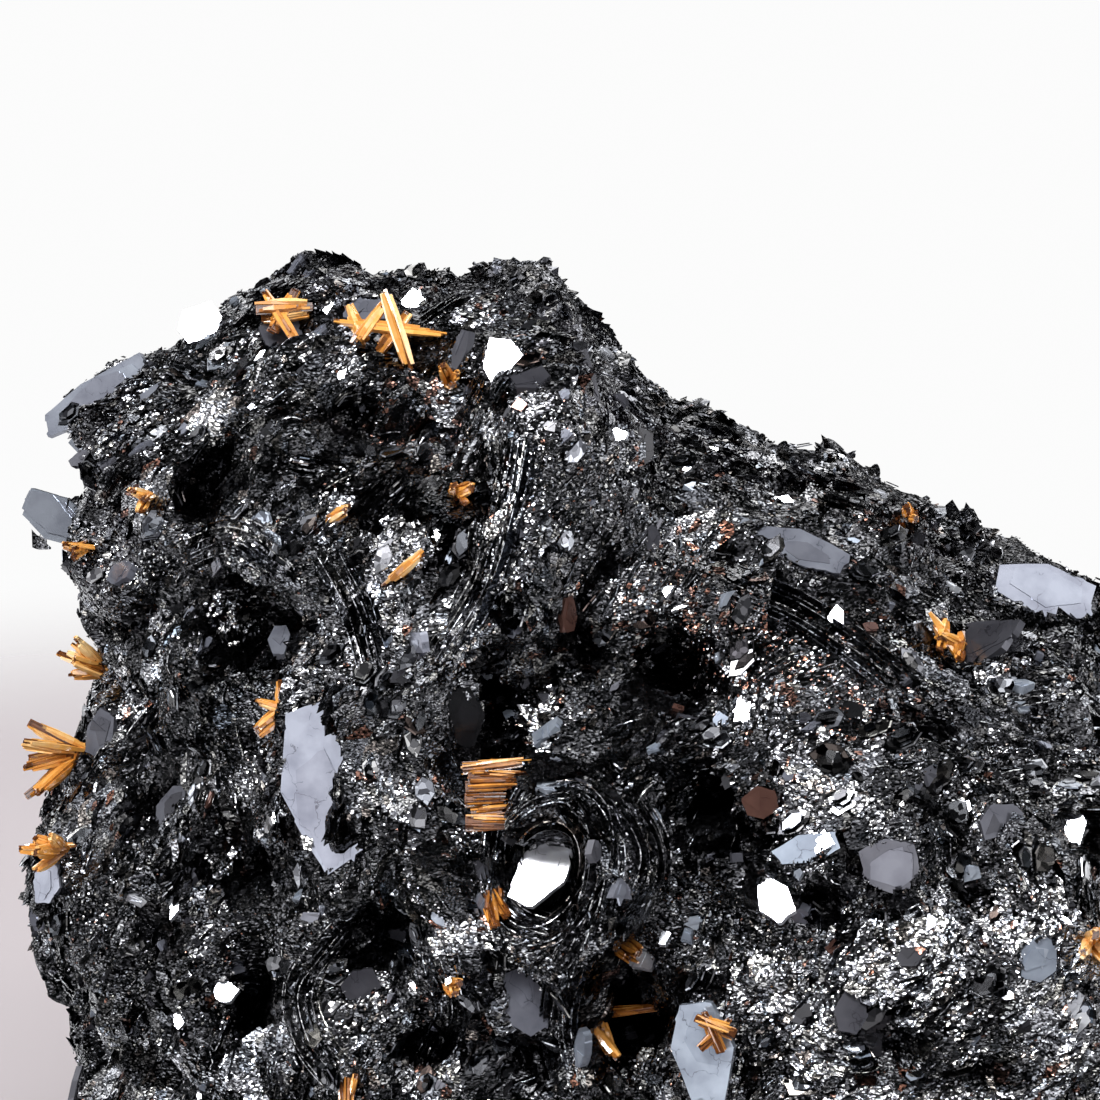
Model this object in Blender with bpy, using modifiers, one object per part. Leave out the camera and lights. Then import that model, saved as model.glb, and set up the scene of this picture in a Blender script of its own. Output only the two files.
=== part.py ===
"""Rutile on hematite: a loose hand specimen, modelled in metres with +Z up.

The matrix is one crumbly mass of specular hematite with tabular crystals grown into it. Golden rutile grows
on it in sprays of needles, and each spray is a piece of its own. The specimen stands on its broken base,
which is flat at Z = 0. X runs along its length and the side looked at faces -Y.
"""

import math
import random

import bmesh
import bpy
import numpy as np
from mathutils import Matrix, Vector, noise
from mathutils.bvhtree import BVHTree

MM = 0.001

# Driving sizes, in millimetres.
EYE = Vector((-9.75, -322.8, 120.6))  # where the specimen is looked at from
MIDDLE = Vector((0.0, 2.0, 34.0))  # the point that the mass swells out from
FRONT_DEPTH = 23.0  # from the middle to the front, before the swells below
BACK_DEPTH = 34.0
FRONT_BOXINESS = 0.7  # below 1 the mass fills out towards a block
BACK_BOXINESS = 0.92
MASS_FACETS = 3000
FACET_SOURCE = 7  # subdivisions of the ball that the mass is drawn from
GAP = 0.3  # between the matrix and each rutile piece
SKIN_GRAIN = 0.5  # of the copy of the matrix that the sprays are cut to
SKIN_SHARE = 0.2  # of that copy's faces that are kept
SKIN_SWELL = 1.3  # times the gap, since fewer faces cut corners
RIM_BACK = 10.0  # how far the rim lies behind the middle plane on the whole
FAR_OUT = 200.0  # well clear of the specimen

# The crumbly surface: how large each kind of roughness is, and how far it stands out.
WARP_SEED, WARP_SIZE, WARP_SHIFT = 3, 9.0, 4.0
LUMP_SIZE, LUMP_HEIGHT = 11.0, 3.0
LEDGE_SIZE, LEDGE_HEIGHT, LEDGE_LEVEL = 8.0, 5.0, 0.22
BLOCK_SIZE, BLOCK_HEIGHT, BLOCK_LEVEL = 3.4, 2.0, 0.2
EDGE_MOST = 0.5  # where a ledge or a block is as high as it gets
PIT_SIZE, PIT_DEPTH, PIT_LEVEL = 6.0, 5.4, 0.22
PIT_PLACE = Vector((31.0, 7.0, 3.0))  # shifts the pits away from the lumps
RIM_ROUGHNESS = 0.3  # the rim already has its own shape
RIM_WIDTH = 0.35  # as a share of the depth
FORM_FALL = 1.2  # how steeply a swell falls away from its line

# The rim of the mass as seen from the front, anticlockwise from the base's right end: x, y, z.
RIM = [
    (47.0, 0.0, -3.0),
    (48.5, 0.0, 8.5),
    (49.0, 0.0, 20.0),
    (48.0, 4.0, 29.0),
    (45.0, 10.0, 36.5),
    (40.0, 16.0, 41.0),
    (34.0, 18.0, 44.5),
    (26.0, 19.0, 48.5),
    (18.0, 17.0, 52.5),
    (10.0, 15.0, 55.0),
    (5.5, 14.0, 57.5),
    (2.0, 13.0, 60.0),
    (-0.5, 13.0, 59.5),
    (-2.5, 12.0, 62.0),
    (-6.0, 10.0, 66.5),
    (-8.0, 8.0, 69.5),
    (-10.0, 7.0, 72.0),
    (-12.0, 6.0, 72.8),
    (-16.5, 6.0, 71.5),
    (-19.5, 8.0, 70.0),
    (-25.0, 12.0, 70.2),
    (-33.0, 15.0, 69.0),
    (-36.0, 15.0, 67.0),
    (-38.5, 15.0, 64.8),
    (-42.0, 14.0, 64.0),
    (-44.5, 14.0, 61.0),
    (-45.0, 12.0, 58.0),
    (-43.0, 13.0, 56.5),
    (-46.5, 12.0, 52.0),
    (-46.0, 12.0, 48.0),
    (-45.5, 13.0, 44.5),
    (-44.0, 14.0, 41.0),
    (-45.5, 14.0, 37.0),
    (-48.5, 13.0, 32.0),
    (-50.0, 12.0, 28.0),
    (-50.0, 10.0, 23.0),
    (-47.5, 8.0, 17.0),
    (-45.5, 5.0, 11.0),
    (-45.0, 2.0, 4.0),
    (-45.5, 0.0, -3.0),
]

# Swells (outwards) and hollows (inwards) of the front, each along a line: x, z, x, z, radius, push. Like
# every x and z below that has no y, they are where the line of sight passes the plane Y = 0.
FRONT_FORMS = [
    (20.9, 19.9, 20.9, 19.9, 19.5, 13.0),  # the great swell at the lower right
    (9.1, 40.4, 9.1, 40.4, 12.8, 6.0),  # the shoulder above it
    (-13.1, 69.0, -10.1, 63.4, 6.0, 2.5),  # the scaly rib below the peak
    (-10.1, 63.4, -12.0, 51.2, 5.0, 4.5),
    (-30.6, 58.0, -30.6, 56.0, 9.8, 3.5),  # the head at the upper left
    (-41.9, 57.3, -41.9, 57.3, 4.5, 3.0),
    (-43.3, 24.7, -43.3, 24.7, 6.8, 4.0),
    (-27.3, 40.4, -25.4, 27.9, 4.1, 5.5),  # the block with the large grey plate
    (-21.0, 51.2, -18.8, 44.3, 3.0, 4.5),
    (-14.4, 24.7, -13.1, 32.6, 1.9, 5.5),  # the curled ring round the white plate
    (-13.1, 32.6, -8.2, 34.4, 1.9, 6.5),
    (-8.2, 34.4, -5.0, 28.7, 1.9, 6.5),
    (-5.0, 28.7, -6.7, 22.7, 1.9, 5.5),
    (-6.7, 22.7, -12.8, 21.9, 1.9, 5.0),
    (-10.1, 27.2, -10.1, 27.2, 2.6, -3.0),
    (4.3, 26.9, 11.6, 29.1, 1.8, 5.0),  # the tube-like ledge
    (-17.4, 26.3, -21.2, 16.7, 2.1, 4.5),
    (-9.0, 19.5, -6.7, 9.5, 2.0, 5.5),
    (0.2, 16.7, 3.0, 8.7, 2.4, 5.0),
    (-28.9, 20.7, -25.9, 10.3, 2.6, 4.5),
    (-38.1, 15.9, -38.1, 15.9, 3.4, 3.5),
    (6.0, 51.2, 12.7, 53.5, 2.2, 3.5),
    (24.0, 42.0, 30.0, 34.0, 3.0, 3.5),
    (-34.2, 48.2, -28.6, 45.1, 3.6, -6.5),  # the dark band above the grey plate
    (-3.0, 44.3, 3.1, 41.2, 3.4, -6.5),
    (-13.5, 39.2, -13.5, 39.2, 3.1, -6.5),
    (-13.9, 33.4, -14.7, 26.0, 1.7, -7.0),  # the cleft with the golden bundle
    (-2.8, 14.3, -2.8, 14.3, 3.1, -9.0),  # the pit crossed by one needle
    (-21.6, 22.3, -22.8, 19.9, 2.5, -5.5),
    (13.9, 27.5, 14.6, 29.1, 2.4, -5.0),
    (-9.0, 15.9, -10.1, 13.5, 1.8, -4.5),
    (-41.4, 44.3, -39.9, 46.6, 3.4, -5.5),
    (-35.6, 55.8, -34.0, 58.9, 2.4, -5.5),
    (-25.4, 61.9, -25.4, 61.9, 2.4, -5.0),
    (-19.4, 61.1, -19.5, 59.6, 2.0, -4.5),
    (3.5, 34.2, 1.6, 32.6, 2.1, -5.0),
    (25.1, 37.3, 25.1, 37.3, 3.4, -4.0),
    (-31.6, 15.9, -32.7, 19.9, 2.5, -6.5),
    (-6.0, 49.7, -6.0, 49.7, 3.0, -4.0),
    (-18.2, 13.5, -18.2, 13.5, 2.2, -5.5),
    (36.0, 27.0, 33.0, 20.0, 3.0, -5.0),
]

# Swells and hollows of the back, the same way.
BACK_FORMS = [
    (-42.0, 26.0, -38.0, 44.0, 14.0, -9.0),  # the corners fall away unevenly
    (38.0, 40.0, 44.0, 30.0, 10.0, -8.0),
    (10.0, 52.0, 24.0, 46.0, 8.0, -5.0),
    (-22.0, 48.0, -22.0, 48.0, 13.0, 5.0),
    (10.0, 34.0, 20.0, 26.0, 11.0, 6.0),
    (38.0, 14.0, 38.0, 14.0, 11.0, 5.0),
    (-34.0, 22.0, -30.0, 14.0, 8.0, 5.0),
    (-4.0, 58.0, -8.0, 48.0, 5.0, 4.0),
    (2.0, 20.0, -6.0, 8.0, 4.0, 4.0),
    (-10.0, 34.0, -4.0, 40.0, 4.5, -7.0),
    (30.0, 34.0, 24.0, 40.0, 4.5, -6.0),
    (-38.0, 40.0, -34.0, 34.0, 5.0, -6.0),
    (14.0, 10.0, 8.0, 14.0, 5.0, -7.0),
    (-20.0, 62.0, -26.0, 60.0, 3.5, -5.0),
    (-20.0, 20.0, -16.0, 26.0, 3.5, -6.0),
]

# Crystal plates grown into the front: x, y or None where the line of sight finds the surface, z, half length,
# half width, thickness, then in degrees the way the face looks (turn to the right, tilt up) and its long
# side's roll.
FRONT_PLATES = [
    (-44.8, 12.0, 61.8, 4.4, 2.2, 1.8, -25, 20, 27),  # the blades at the upper left
    (-44.2, 11.0, 57.4, 3.2, 1.7, 1.6, -30, 10, -25),
    (-48.0, 12.0, 51.8, 3.4, 2.4, 1.8, -25, 12, 32),
    (-35.7, None, 69.0, 2.5, 1.7, 1.4, -12, 50, 30),
    (-13.1, None, 66.0, 2.5, 1.5, 1.5, 4, 20, 104),
    (-27.0, None, 33.8, 6.4, 2.8, 2.0, -12, 6, 108),  # the large grey plate
    (-10.1, None, 27.2, 3.2, 2.0, 2.2, 4, 16, 68),
    (-2.6, None, 20.2, 1.6, 1.0, 1.6, 4, 18, -40),
    (-11.7, None, 16.7, 2.9, 1.7, 2.0, -8, 12, 120),
    (9.7, None, 28.8, 2.4, 1.1, 1.8, 4, 22, 17),
    (27.5, None, 48.4, 4.8, 2.5, 2.4, 10, 42, -17),  # the two great plates at the right
    (22.3, None, 43.9, 5.3, 2.4, 2.2, 5, 34, -20),
    (9.0, None, 52.0, 3.9, 1.5, 1.8, 0, 38, -26),
    (-16.3, None, 39.0, 2.6, 1.4, 1.8, 20, 0, 95),
    (16.3, None, 27.9, 2.6, 2.2, 2.0, -15, 0, 8),
    (1.9, None, 12.3, 4.6, 2.0, 3.0, -18, 4, 96),
    (-24.3, None, 17.9, 2.3, 1.7, 2.0, 0, 8, 30),
    (-42.6, None, 38.4, 2.8, 2.0, 1.8, -40, 10, 60),
    (-23.1, None, 70.0, 2.3, 1.3, 1.6, 0, 40, 5),
    (-29.6, None, 68.4, 1.8, 1.5, 1.6, 10, 25, 20),
    (-46.8, None, 26.3, 2.8, 1.9, 1.8, -45, 10, 80),
    (6.3, None, 32.4, 1.5, 1.2, 1.6, -10, 12, 15),
    (7.4, None, 24.7, 1.7, 1.2, 1.8, 4, 20, 120),
    (24.4, None, 31.0, 2.4, 1.6, 2.0, 20, 20, 30),
    (27.7, None, 19.9, 2.8, 1.9, 2.2, 15, 10, 60),
    (13.3, None, 15.9, 2.6, 1.7, 2.0, 5, 25, 75),
]

# Larger crystals of the sides that face away, and the small ones all over, are spread by rule.
HIDDEN_PLATES = 20
HIDDEN_TURNS = (50, 300)
HIDDEN_SIZES = (2.2, 5.2)
HIDDEN_STAND = 0.7  # how far they stand out
SMALL_CRYSTALS = 44
SMALL_TURNS = (0, 360)
SMALL_SIZES = (1.1, 2.2)
SMALL_STAND = 0.9
PLATE_SEED = 11
FRONT_STAND = 0.8
PLATE_TUMBLE = 0.6
PLATE_SLENDERNESS = (0.45, 0.8)
LOWEST_PLATE = 5.0
SIX_SIDES = 6
SIDE_STRETCH = (0.8, 1.12)
FACE_SHARE = 0.94  # how much of the crystal's outline its outer face keeps

# Rutile sprays of the front: name, habit, x, z, the way they lean (turn to the right, tilt up), needles,
# length, and then the turn of the first bars for a lattice or a mat, or else how far the needles splay.
FRONT_SPRAYS = [
    ("rutile_crest_spray", "lattice", -22.2, 67.6, (0, 30), 5, 7.6, 50),
    ("rutile_crest_needles", "fan", -17.2, 64.6, (5, 30), 3, 3.6, 26),
    ("rutile_shoulder_bars", "lattice", -29.4, 69.6, (0, 45), 4, 4.6, 4),
    ("rutile_hollow_stub", "sheaf", -25.8, 54.7, (30, 30), 2, 2.8, 8),
    ("rutile_glint", "fan", -16.9, 56.2, (25, 25), 3, 3.0, 35),
    ("rutile_lone_needle", "sheaf", -21.9, 49.3, (48, 42), 1, 4.6, 4),
    ("rutile_left_tuft", "fan", -39.8, 56.1, (-20, 5), 3, 2.8, 35),
    ("rutile_left_wedge", "fan", -44.4, 52.2, (-50, 0), 3, 2.8, 30),
    ("rutile_left_fringe", "fan", -43.0, 42.6, (-75, 25), 5, 5.4, 34),
    ("rutile_left_brush", "fan", -45.0, 36.4, (-75, -8), 7, 7.4, 40),
    ("rutile_left_low_tuft", "fan", -46.6, 28.7, (-50, 10), 5, 4.4, 40),
    ("rutile_plate_fan", "lattice", -29.8, 39.4, (-15, 15), 5, 4.8, 44),
    ("rutile_cleft_bundle", "mat", -13.9, 33.2, (0, 10), 7, 4.6, 3),
    ("rutile_cleft_tail", "sheaf", -14.7, 25.5, (10, -25), 3, 4.8, 12),
    ("rutile_pit_bundle", "sheaf", -4.2, 21.1, (35, -10), 3, 3.6, 14),
    ("rutile_pit_needle", "sheaf", -5.5, 15.6, (72, 10), 1, 5.0, 4),
    ("rutile_low_tuft", "fan", -17.4, 17.9, (10, 20), 3, 2.8, 30),
    ("rutile_foot_bundle", "sheaf", -25.5, 9.9, (-10, -30), 3, 4.6, 16),
    ("rutile_prism_bars", "lattice", 2.7, 14.3, (0, 10), 3, 3.2, 48),
    ("rutile_right_tuft", "fan", 31.5, 21.5, (20, 10), 6, 4.4, 40),
    ("rutile_strap", "sheaf", -6.2, 14.6, (40, -40), 2, 4.4, 10),
    ("rutile_ridge_knot", "fan", 17.2, 54.2, (10, 45), 3, 2.4, 35),
]

# Sprays of the sides that face away: name, habit, the way from the middle that they lie, the way they lean,
# and the rest as above.
HIDDEN_SPRAYS = [
    ("rutile_back_mat", "mat", (178, 22), (180, 20), 6, 6.4, 30),
    ("rutile_back_spray", "fan", (152, 22), (152, 20), 6, 6.0, 36),
    ("rutile_back_crest", "fan", (212, 34), (212, 30), 5, 5.0, 40),
    ("rutile_back_low_fan", "fan", (200, -8), (200, 0), 5, 6.0, 38),
    ("rutile_end_spray", "lattice", (95, 8), (95, 12), 5, 6.0, 30),
    ("rutile_left_end_mat", "lattice", (248, 10), (248, 15), 5, 5.6, 30),
    ("rutile_right_shoulder", "lattice", (62, 30), (62, 35), 4, 4.6, 30),
]

NEEDLE_THICKNESS = 0.6
NEEDLE_WIDTH = 1.5  # times the thickness
ROOT_DEPTH = 0.8  # how far a needle starts below the surface
MOST_BURIED = 0.2  # of a spray's length, or else it is lifted
LIFT = 0.3
LIFTS = 14
LATTICE_TURNS = (0.0, 62.0, 118.0)  # twinned rutile crosses at about 60 degrees
LATTICE_RISE, LATTICE_STEP = 0.7, 0.17  # how far out the first bar lies, and each further one from it
LATTICE_DRIFT = 0.2  # of the length, to each side
LATTICE_LOOSENESS = 7.0
MAT_PITCH = 0.8  # between the bars of a mat
MAT_RISE = 0.9
MAT_LOOSENESS = 3.0
SHEAF_PITCH = 0.8  # times the needles' thickness
SHEAF_DRIFT = 0.15
NEEDLE_LENGTHS = (0.72, 1.0)
NEEDLE_THICKNESSES = (0.8, 1.25)
NEEDLE_FOOT, NEEDLE_TIP = 0.6, 0.4
GOLDEN_TURN = 137.5
PROBES = (0.3, 0.5, 0.7, 0.9)  # along a needle, where it is asked whether it is buried
FRONT_SEED, HIDDEN_SEED = 100, 200
CUTTER_SPAN, CUTTER_DEPTH = 300.0, 100.0


def smooth_step(t):
    t = np.clip(t, 0.0, 1.0)
    return t * t * (3.0 - 2.0 * t)


def facing(turn, tilt):
    """The unit direction that looks to the front, turned to the right and tilted up by so many degrees."""
    turn, tilt = math.radians(turn), math.radians(tilt)
    return Vector((math.sin(turn) * math.cos(tilt), -math.cos(turn) * math.cos(tilt), math.sin(tilt)))


def facing_axes(direction, roll=0.0):
    """Axes with Z along the direction and X level, rolled about Z."""
    z = direction.normalized()
    up = Vector((0, 0, 1)) if abs(z.z) < 0.95 else Vector((0, 1, 0))
    x = up.cross(z).normalized()
    level = Matrix((x, z.cross(x), z)).transposed()
    return level @ Matrix.Rotation(math.radians(roll), 3, "Z")


def material(name, colour, roughness, metallic):
    made = bpy.data.materials.new(name)
    made.use_nodes = True
    shader = made.node_tree.nodes["Principled BSDF"]
    shader.inputs["Base Color"].default_value = (*colour, 1.0)
    shader.inputs["Roughness"].default_value = roughness
    shader.inputs["Metallic"].default_value = metallic
    return made


def hematite_material():
    return material("hematite", (0.06, 0.06, 0.066), 0.3, 1.0)


def rutile_material():
    return material("rutile", (0.62, 0.32, 0.07), 0.35, 0.2)


def new_object(name, bm, collection, finish=None):
    mesh = bpy.data.meshes.new(name)
    bm.to_mesh(mesh)
    bm.free()
    obj = bpy.data.objects.new(name, mesh)
    collection.objects.link(obj)
    if finish:
        mesh.materials.append(finish)
    return obj


def bake_modifiers(obj):
    """Makes what the modifiers show the object's own mesh."""
    graph = bpy.context.evaluated_depsgraph_get()
    obj.data = bpy.data.meshes.new_from_object(obj.evaluated_get(graph))
    obj.modifiers.clear()


def boolean(obj, cutter, operation):
    step = obj.modifiers.new(operation.title(), "BOOLEAN")
    step.operation = operation
    step.object = cutter
    bake_modifiers(obj)


def rim_at(angles):
    """The rim's distance from the middle in the XZ plane, and its y, at each angle."""
    rim = np.array(RIM)
    rim_angles = np.unwrap(np.arctan2(rim[:, 2] - MIDDLE.z, rim[:, 0] - MIDDLE.x))
    turned = (angles - rim_angles[0]) % (2 * math.pi) + rim_angles[0]
    reach = np.hypot(rim[:, 0] - MIDDLE.x, rim[:, 2] - MIDDLE.z)
    closed = np.append(rim_angles, rim_angles[0] + 2 * math.pi)
    reach_there = np.interp(turned, closed, np.append(reach, reach[0]))
    y_there = np.interp(turned, closed, np.append(rim[:, 1], rim[0, 1]))
    return reach_there, y_there


def on_middle_plane(points):
    """The x and z at which the line of sight to each point passes the plane Y = 0."""
    share = -EYE.y / (points[:, 1] - EYE.y)
    return EYE.x + (points[:, 0] - EYE.x) * share, EYE.z + (points[:, 2] - EYE.z) * share


def add_forms(points, front, forms):
    """Pushes the points out or in along Y near each form's line, by as much as they are on that side."""
    x, z = on_middle_plane(points)
    for x1, z1, x2, z2, radius, push in forms:
        along = max((x2 - x1) ** 2 + (z2 - z1) ** 2, 1e-6)
        t = np.clip(((x - x1) * (x2 - x1) + (z - z1) * (z2 - z1)) / along, 0.0, 1.0)
        away = np.hypot(x - x1 - t * (x2 - x1), z - z1 - t * (z2 - z1)) / radius
        points[:, 1] += push * np.exp(-FORM_FALL * away**2) * front


def stepped(point, size, height, level):
    """How far blocks of one size stand out, each with a steep edge to the next."""
    near = noise.voronoi(point / size)[0]
    return (min(near[1] - near[0], EDGE_MOST) - level) * height


def lumpiness(point):
    """How far the crumbly surface stands out at a point, in millimetres: lumps, ledges, blocks and pits."""
    warp = noise.noise_vector(point / WARP_SIZE) * WARP_SHIFT
    lumps = noise.noise(point / LUMP_SIZE) * LUMP_HEIGHT
    ledges = stepped(point + warp, LEDGE_SIZE, LEDGE_HEIGHT, LEDGE_LEVEL)
    blocks = stepped(point + warp, BLOCK_SIZE, BLOCK_HEIGHT, BLOCK_LEVEL)
    pits = PIT_DEPTH * max(0.0, noise.noise(point / PIT_SIZE + PIT_PLACE) - PIT_LEVEL)
    return lumps + ledges + blocks - pits


def rough_mass(collection, finish):
    """The crumbly mass: a ball drawn out to the rim, given its swells and hollows, then roughened."""
    bm = bmesh.new()
    bmesh.ops.create_icosphere(bm, subdivisions=FACET_SOURCE, radius=1.0)
    ball = np.array([v.co for v in bm.verts])
    front = ball[:, 1] < 0
    boxiness = np.where(front, FRONT_BOXINESS, BACK_BOXINESS)
    level = np.hypot(ball[:, 0], ball[:, 2])
    reach, rim_y = rim_at(np.arctan2(ball[:, 2], ball[:, 0]))
    out = reach * level**boxiness / np.maximum(level, 1e-9)
    depth = np.where(front, -FRONT_DEPTH, BACK_DEPTH) * np.abs(ball[:, 1]) ** boxiness
    points = np.empty_like(ball)
    points[:, 0] = MIDDLE.x + ball[:, 0] * out
    points[:, 1] = rim_y * level**2 + depth
    points[:, 2] = MIDDLE.z + ball[:, 2] * out
    add_forms(points, -smooth_step(-ball[:, 1] / 0.5), FRONT_FORMS)
    add_forms(points, smooth_step(ball[:, 1] / 0.5), BACK_FORMS)
    rough = RIM_ROUGHNESS + (1.0 - RIM_ROUGHNESS) * smooth_step(np.abs(ball[:, 1]) / RIM_WIDTH)
    for vertex, point, share in zip(bm.verts, points, rough):
        away = Vector(point) - MIDDLE
        vertex.co = (Vector(point) + away.normalized() * lumpiness(Vector(point)) * share) * MM
    mass = new_object("hematite_matrix", bm, collection, finish)
    fewer = mass.modifiers.new("Facets", "DECIMATE")
    fewer.ratio = MASS_FACETS / len(mass.data.polygons)
    bake_modifiers(mass)
    return mass


def surface_tree(obj):
    return BVHTree.FromObject(obj, bpy.context.evaluated_depsgraph_get())


def seen_point(tree, x, z):
    """Where the line of sight through (x, 0, z) meets the surface, or passes it most closely."""
    passing = Vector((x, 0.0, z))
    hit = tree.ray_cast(EYE * MM, (passing - EYE).normalized())
    return hit[0] or tree.find_nearest((passing + (passing - EYE).normalized() * RIM_BACK) * MM)[0]


def outer_point(tree, direction):
    """Where a ray from far out meets the surface on its way to the middle, and the surface's normal."""
    far_out = (MIDDLE + direction * FAR_OUT) * MM
    hit = tree.ray_cast(far_out, -direction)
    return hit[0], hit[1]


def tabular_crystal(point, direction, half_length, half_width, thickness, roll, chance):
    """A flat six-sided crystal with uneven sides and a slightly narrower face, whose middle is the point."""
    bm = bmesh.new()
    bmesh.ops.create_cone(bm, cap_ends=True, segments=SIX_SIDES, radius1=1.0, radius2=FACE_SHARE, depth=1.0)
    stretch = [chance.uniform(*SIDE_STRETCH) for _ in range(SIX_SIDES)]
    for vertex in bm.verts:
        corner = round(math.atan2(vertex.co.y, vertex.co.x) * SIX_SIDES / (2 * math.pi)) % SIX_SIDES
        vertex.co.x *= half_length * stretch[corner] * MM
        vertex.co.y *= half_width * stretch[corner] * MM
        vertex.co.z = (vertex.co.z - 0.5) * thickness * MM
    where = Matrix.Translation(point) @ facing_axes(direction, roll).to_4x4()
    bmesh.ops.transform(bm, matrix=where, verts=bm.verts)
    return bm


def front_plates(tree):
    """The front's plates as (point, direction, half length, half width, thickness, roll)."""
    plates = []
    for x, y, z, half_length, half_width, thickness, turn, tilt, roll in FRONT_PLATES:
        direction = facing(turn, tilt)
        point = seen_point(tree, x, z) if y is None else Vector((x, y, z)) * MM
        lift = FRONT_STAND if y is None else 0.0
        middle = point + direction * lift * MM
        plates.append((middle, direction, half_length, half_width, thickness + lift, roll))
    return plates


def spread_plates(tree, chance, count, turns, sizes, stand):
    """Plates at chance places, whose faces look roughly outwards, as far as they stand out."""
    plates = []
    while len(plates) < count:
        way = facing(chance.uniform(*turns), math.degrees(math.asin(chance.uniform(-0.45, 0.92))))
        point, normal = outer_point(tree, way)
        if point.z < LOWEST_PLATE * MM:
            continue
        tumble = Vector([chance.uniform(-PLATE_TUMBLE, PLATE_TUMBLE) for _ in range(3)])
        direction = (normal + way * PLATE_TUMBLE + tumble).normalized()
        half_length = chance.uniform(*sizes)
        half_width = half_length * chance.uniform(*PLATE_SLENDERNESS)
        point = point + direction * stand * MM
        plates.append((point, direction, half_length, half_width, stand + half_width, chance.uniform(0, 180)))
    return plates


def add_crystals(mass):
    """Fuses the tabular crystals with the mass they grew in."""
    tree = surface_tree(mass)
    chance = random.Random(PLATE_SEED)
    plates = front_plates(tree)
    plates += spread_plates(tree, chance, HIDDEN_PLATES, HIDDEN_TURNS, HIDDEN_SIZES, HIDDEN_STAND)
    plates += spread_plates(tree, chance, SMALL_CRYSTALS, SMALL_TURNS, SMALL_SIZES, SMALL_STAND)
    for plate in plates:
        crystal = new_object("crystal", tabular_crystal(*plate, chance), mass.users_collection[0])
        boolean(mass, crystal, "UNION")
        bpy.data.objects.remove(crystal)


def cut_base(mass):
    """Cuts the mass off flat at Z = 0, as a trimmed specimen is."""
    bm = bmesh.new()
    bmesh.ops.create_cube(bm, size=1.0)
    size = Vector((CUTTER_SPAN, CUTTER_SPAN, CUTTER_DEPTH)) * MM
    below = Matrix.Translation((0, 0, -size.z / 2)) @ Matrix.Diagonal((*size, 1.0))
    bmesh.ops.transform(bm, matrix=below, verts=bm.verts)
    cutter = new_object("base_cutter", bm, mass.users_collection[0])
    boolean(mass, cutter, "DIFFERENCE")
    bpy.data.objects.remove(cutter)


def volume_of(faces):
    total = 0.0
    for face in faces:
        first = face.verts[0].co
        for a, b in zip(face.verts[1:], face.verts[2:]):
            total += first.dot(a.co.cross(b.co))
    return total


def keep_largest(obj):
    """Drops every loose bit but the one with the most volume, and so fills any sealed hollow too."""
    bm = bmesh.new()
    bm.from_mesh(obj.data)
    bm.verts.ensure_lookup_table()
    seen, islands = set(), []
    for start in bm.verts:
        if start.index in seen:
            continue
        seen.add(start.index)
        island, edge = [start], [start]
        while edge:
            for link in edge.pop().link_edges:
                for vertex in link.verts:
                    if vertex.index not in seen:
                        seen.add(vertex.index)
                        island.append(vertex)
                        edge.append(vertex)
        islands.append(island)
    kept = max(islands, key=lambda island: volume_of({face for v in island for face in v.link_faces}))
    stay = {vertex.index for vertex in kept}
    bmesh.ops.delete(bm, geom=[v for v in bm.verts if v.index not in stay], context="VERTS")
    bmesh.ops.triangulate(bm, faces=bm.faces)
    bm.to_mesh(obj.data)
    bm.free()


def needle(foot, direction, length, thickness, roll):
    """A four-sided needle that narrows to its tip."""
    bm = bmesh.new()
    bmesh.ops.create_cone(bm, cap_ends=True, segments=4, radius1=NEEDLE_FOOT, radius2=NEEDLE_TIP, depth=1.0)
    size = Matrix.Diagonal((thickness * NEEDLE_WIDTH * MM, thickness * MM, length * MM, 1.0))
    placed = Matrix.Translation(foot) @ facing_axes(direction, roll).to_4x4()
    where = placed @ size @ Matrix.Translation((0, 0, 0.5))
    bmesh.ops.transform(bm, matrix=where, verts=bm.verts)
    return bm


def lattice_needle(i, axes, length, long, first_turn, chance):
    """Which way a bar of a crossed lattice runs, and where it starts from the spray's root."""
    loose = chance.uniform(-LATTICE_LOOSENESS, LATTICE_LOOSENESS)
    turn = math.radians(first_turn + LATTICE_TURNS[i % len(LATTICE_TURNS)] + loose)
    along = axes @ Vector((math.cos(turn), math.sin(turn), chance.uniform(-0.08, 0.14))).normalized()
    drift = chance.uniform(-LATTICE_DRIFT, LATTICE_DRIFT) * length
    aside = axes @ Vector((-math.sin(turn), math.cos(turn), 0)) * drift
    outwards = axes @ Vector((0, 0, LATTICE_RISE + LATTICE_STEP * i))
    return along, aside + outwards - along * long * 0.5


def mat_needle(i, count, axes, long, first_turn, chance):
    """The same for a mat of bars side by side, the first of which crosses beneath the others."""
    turn = math.radians(first_turn + (90.0 if i == 0 else chance.uniform(-MAT_LOOSENESS, MAT_LOOSENESS)))
    along = axes @ Vector((math.cos(turn), math.sin(turn), 0))
    if i == 0:
        return along, axes @ Vector((0, 0, MAT_RISE / 2)) - along * long * 0.5
    place = (i - count / 2) * MAT_PITCH
    aside = axes @ Vector((-math.sin(turn), math.cos(turn), 0)) * place
    return along, aside + axes @ Vector((0, 0, MAT_RISE)) - along * long * 0.5


def sheaf_needle(i, count, axes, thick, splay, chance):
    """The same for a sheaf of nearly parallel needles."""
    wide = math.tan(math.radians(splay))
    along = axes @ Vector((chance.uniform(-wide, wide), chance.uniform(-wide, wide), 1.0)).normalized()
    place = (i - (count - 1) / 2) * thick * SHEAF_PITCH
    aside = axes @ Vector((place, chance.uniform(-SHEAF_DRIFT, SHEAF_DRIFT), 0))
    return along, aside - along * ROOT_DEPTH


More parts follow.
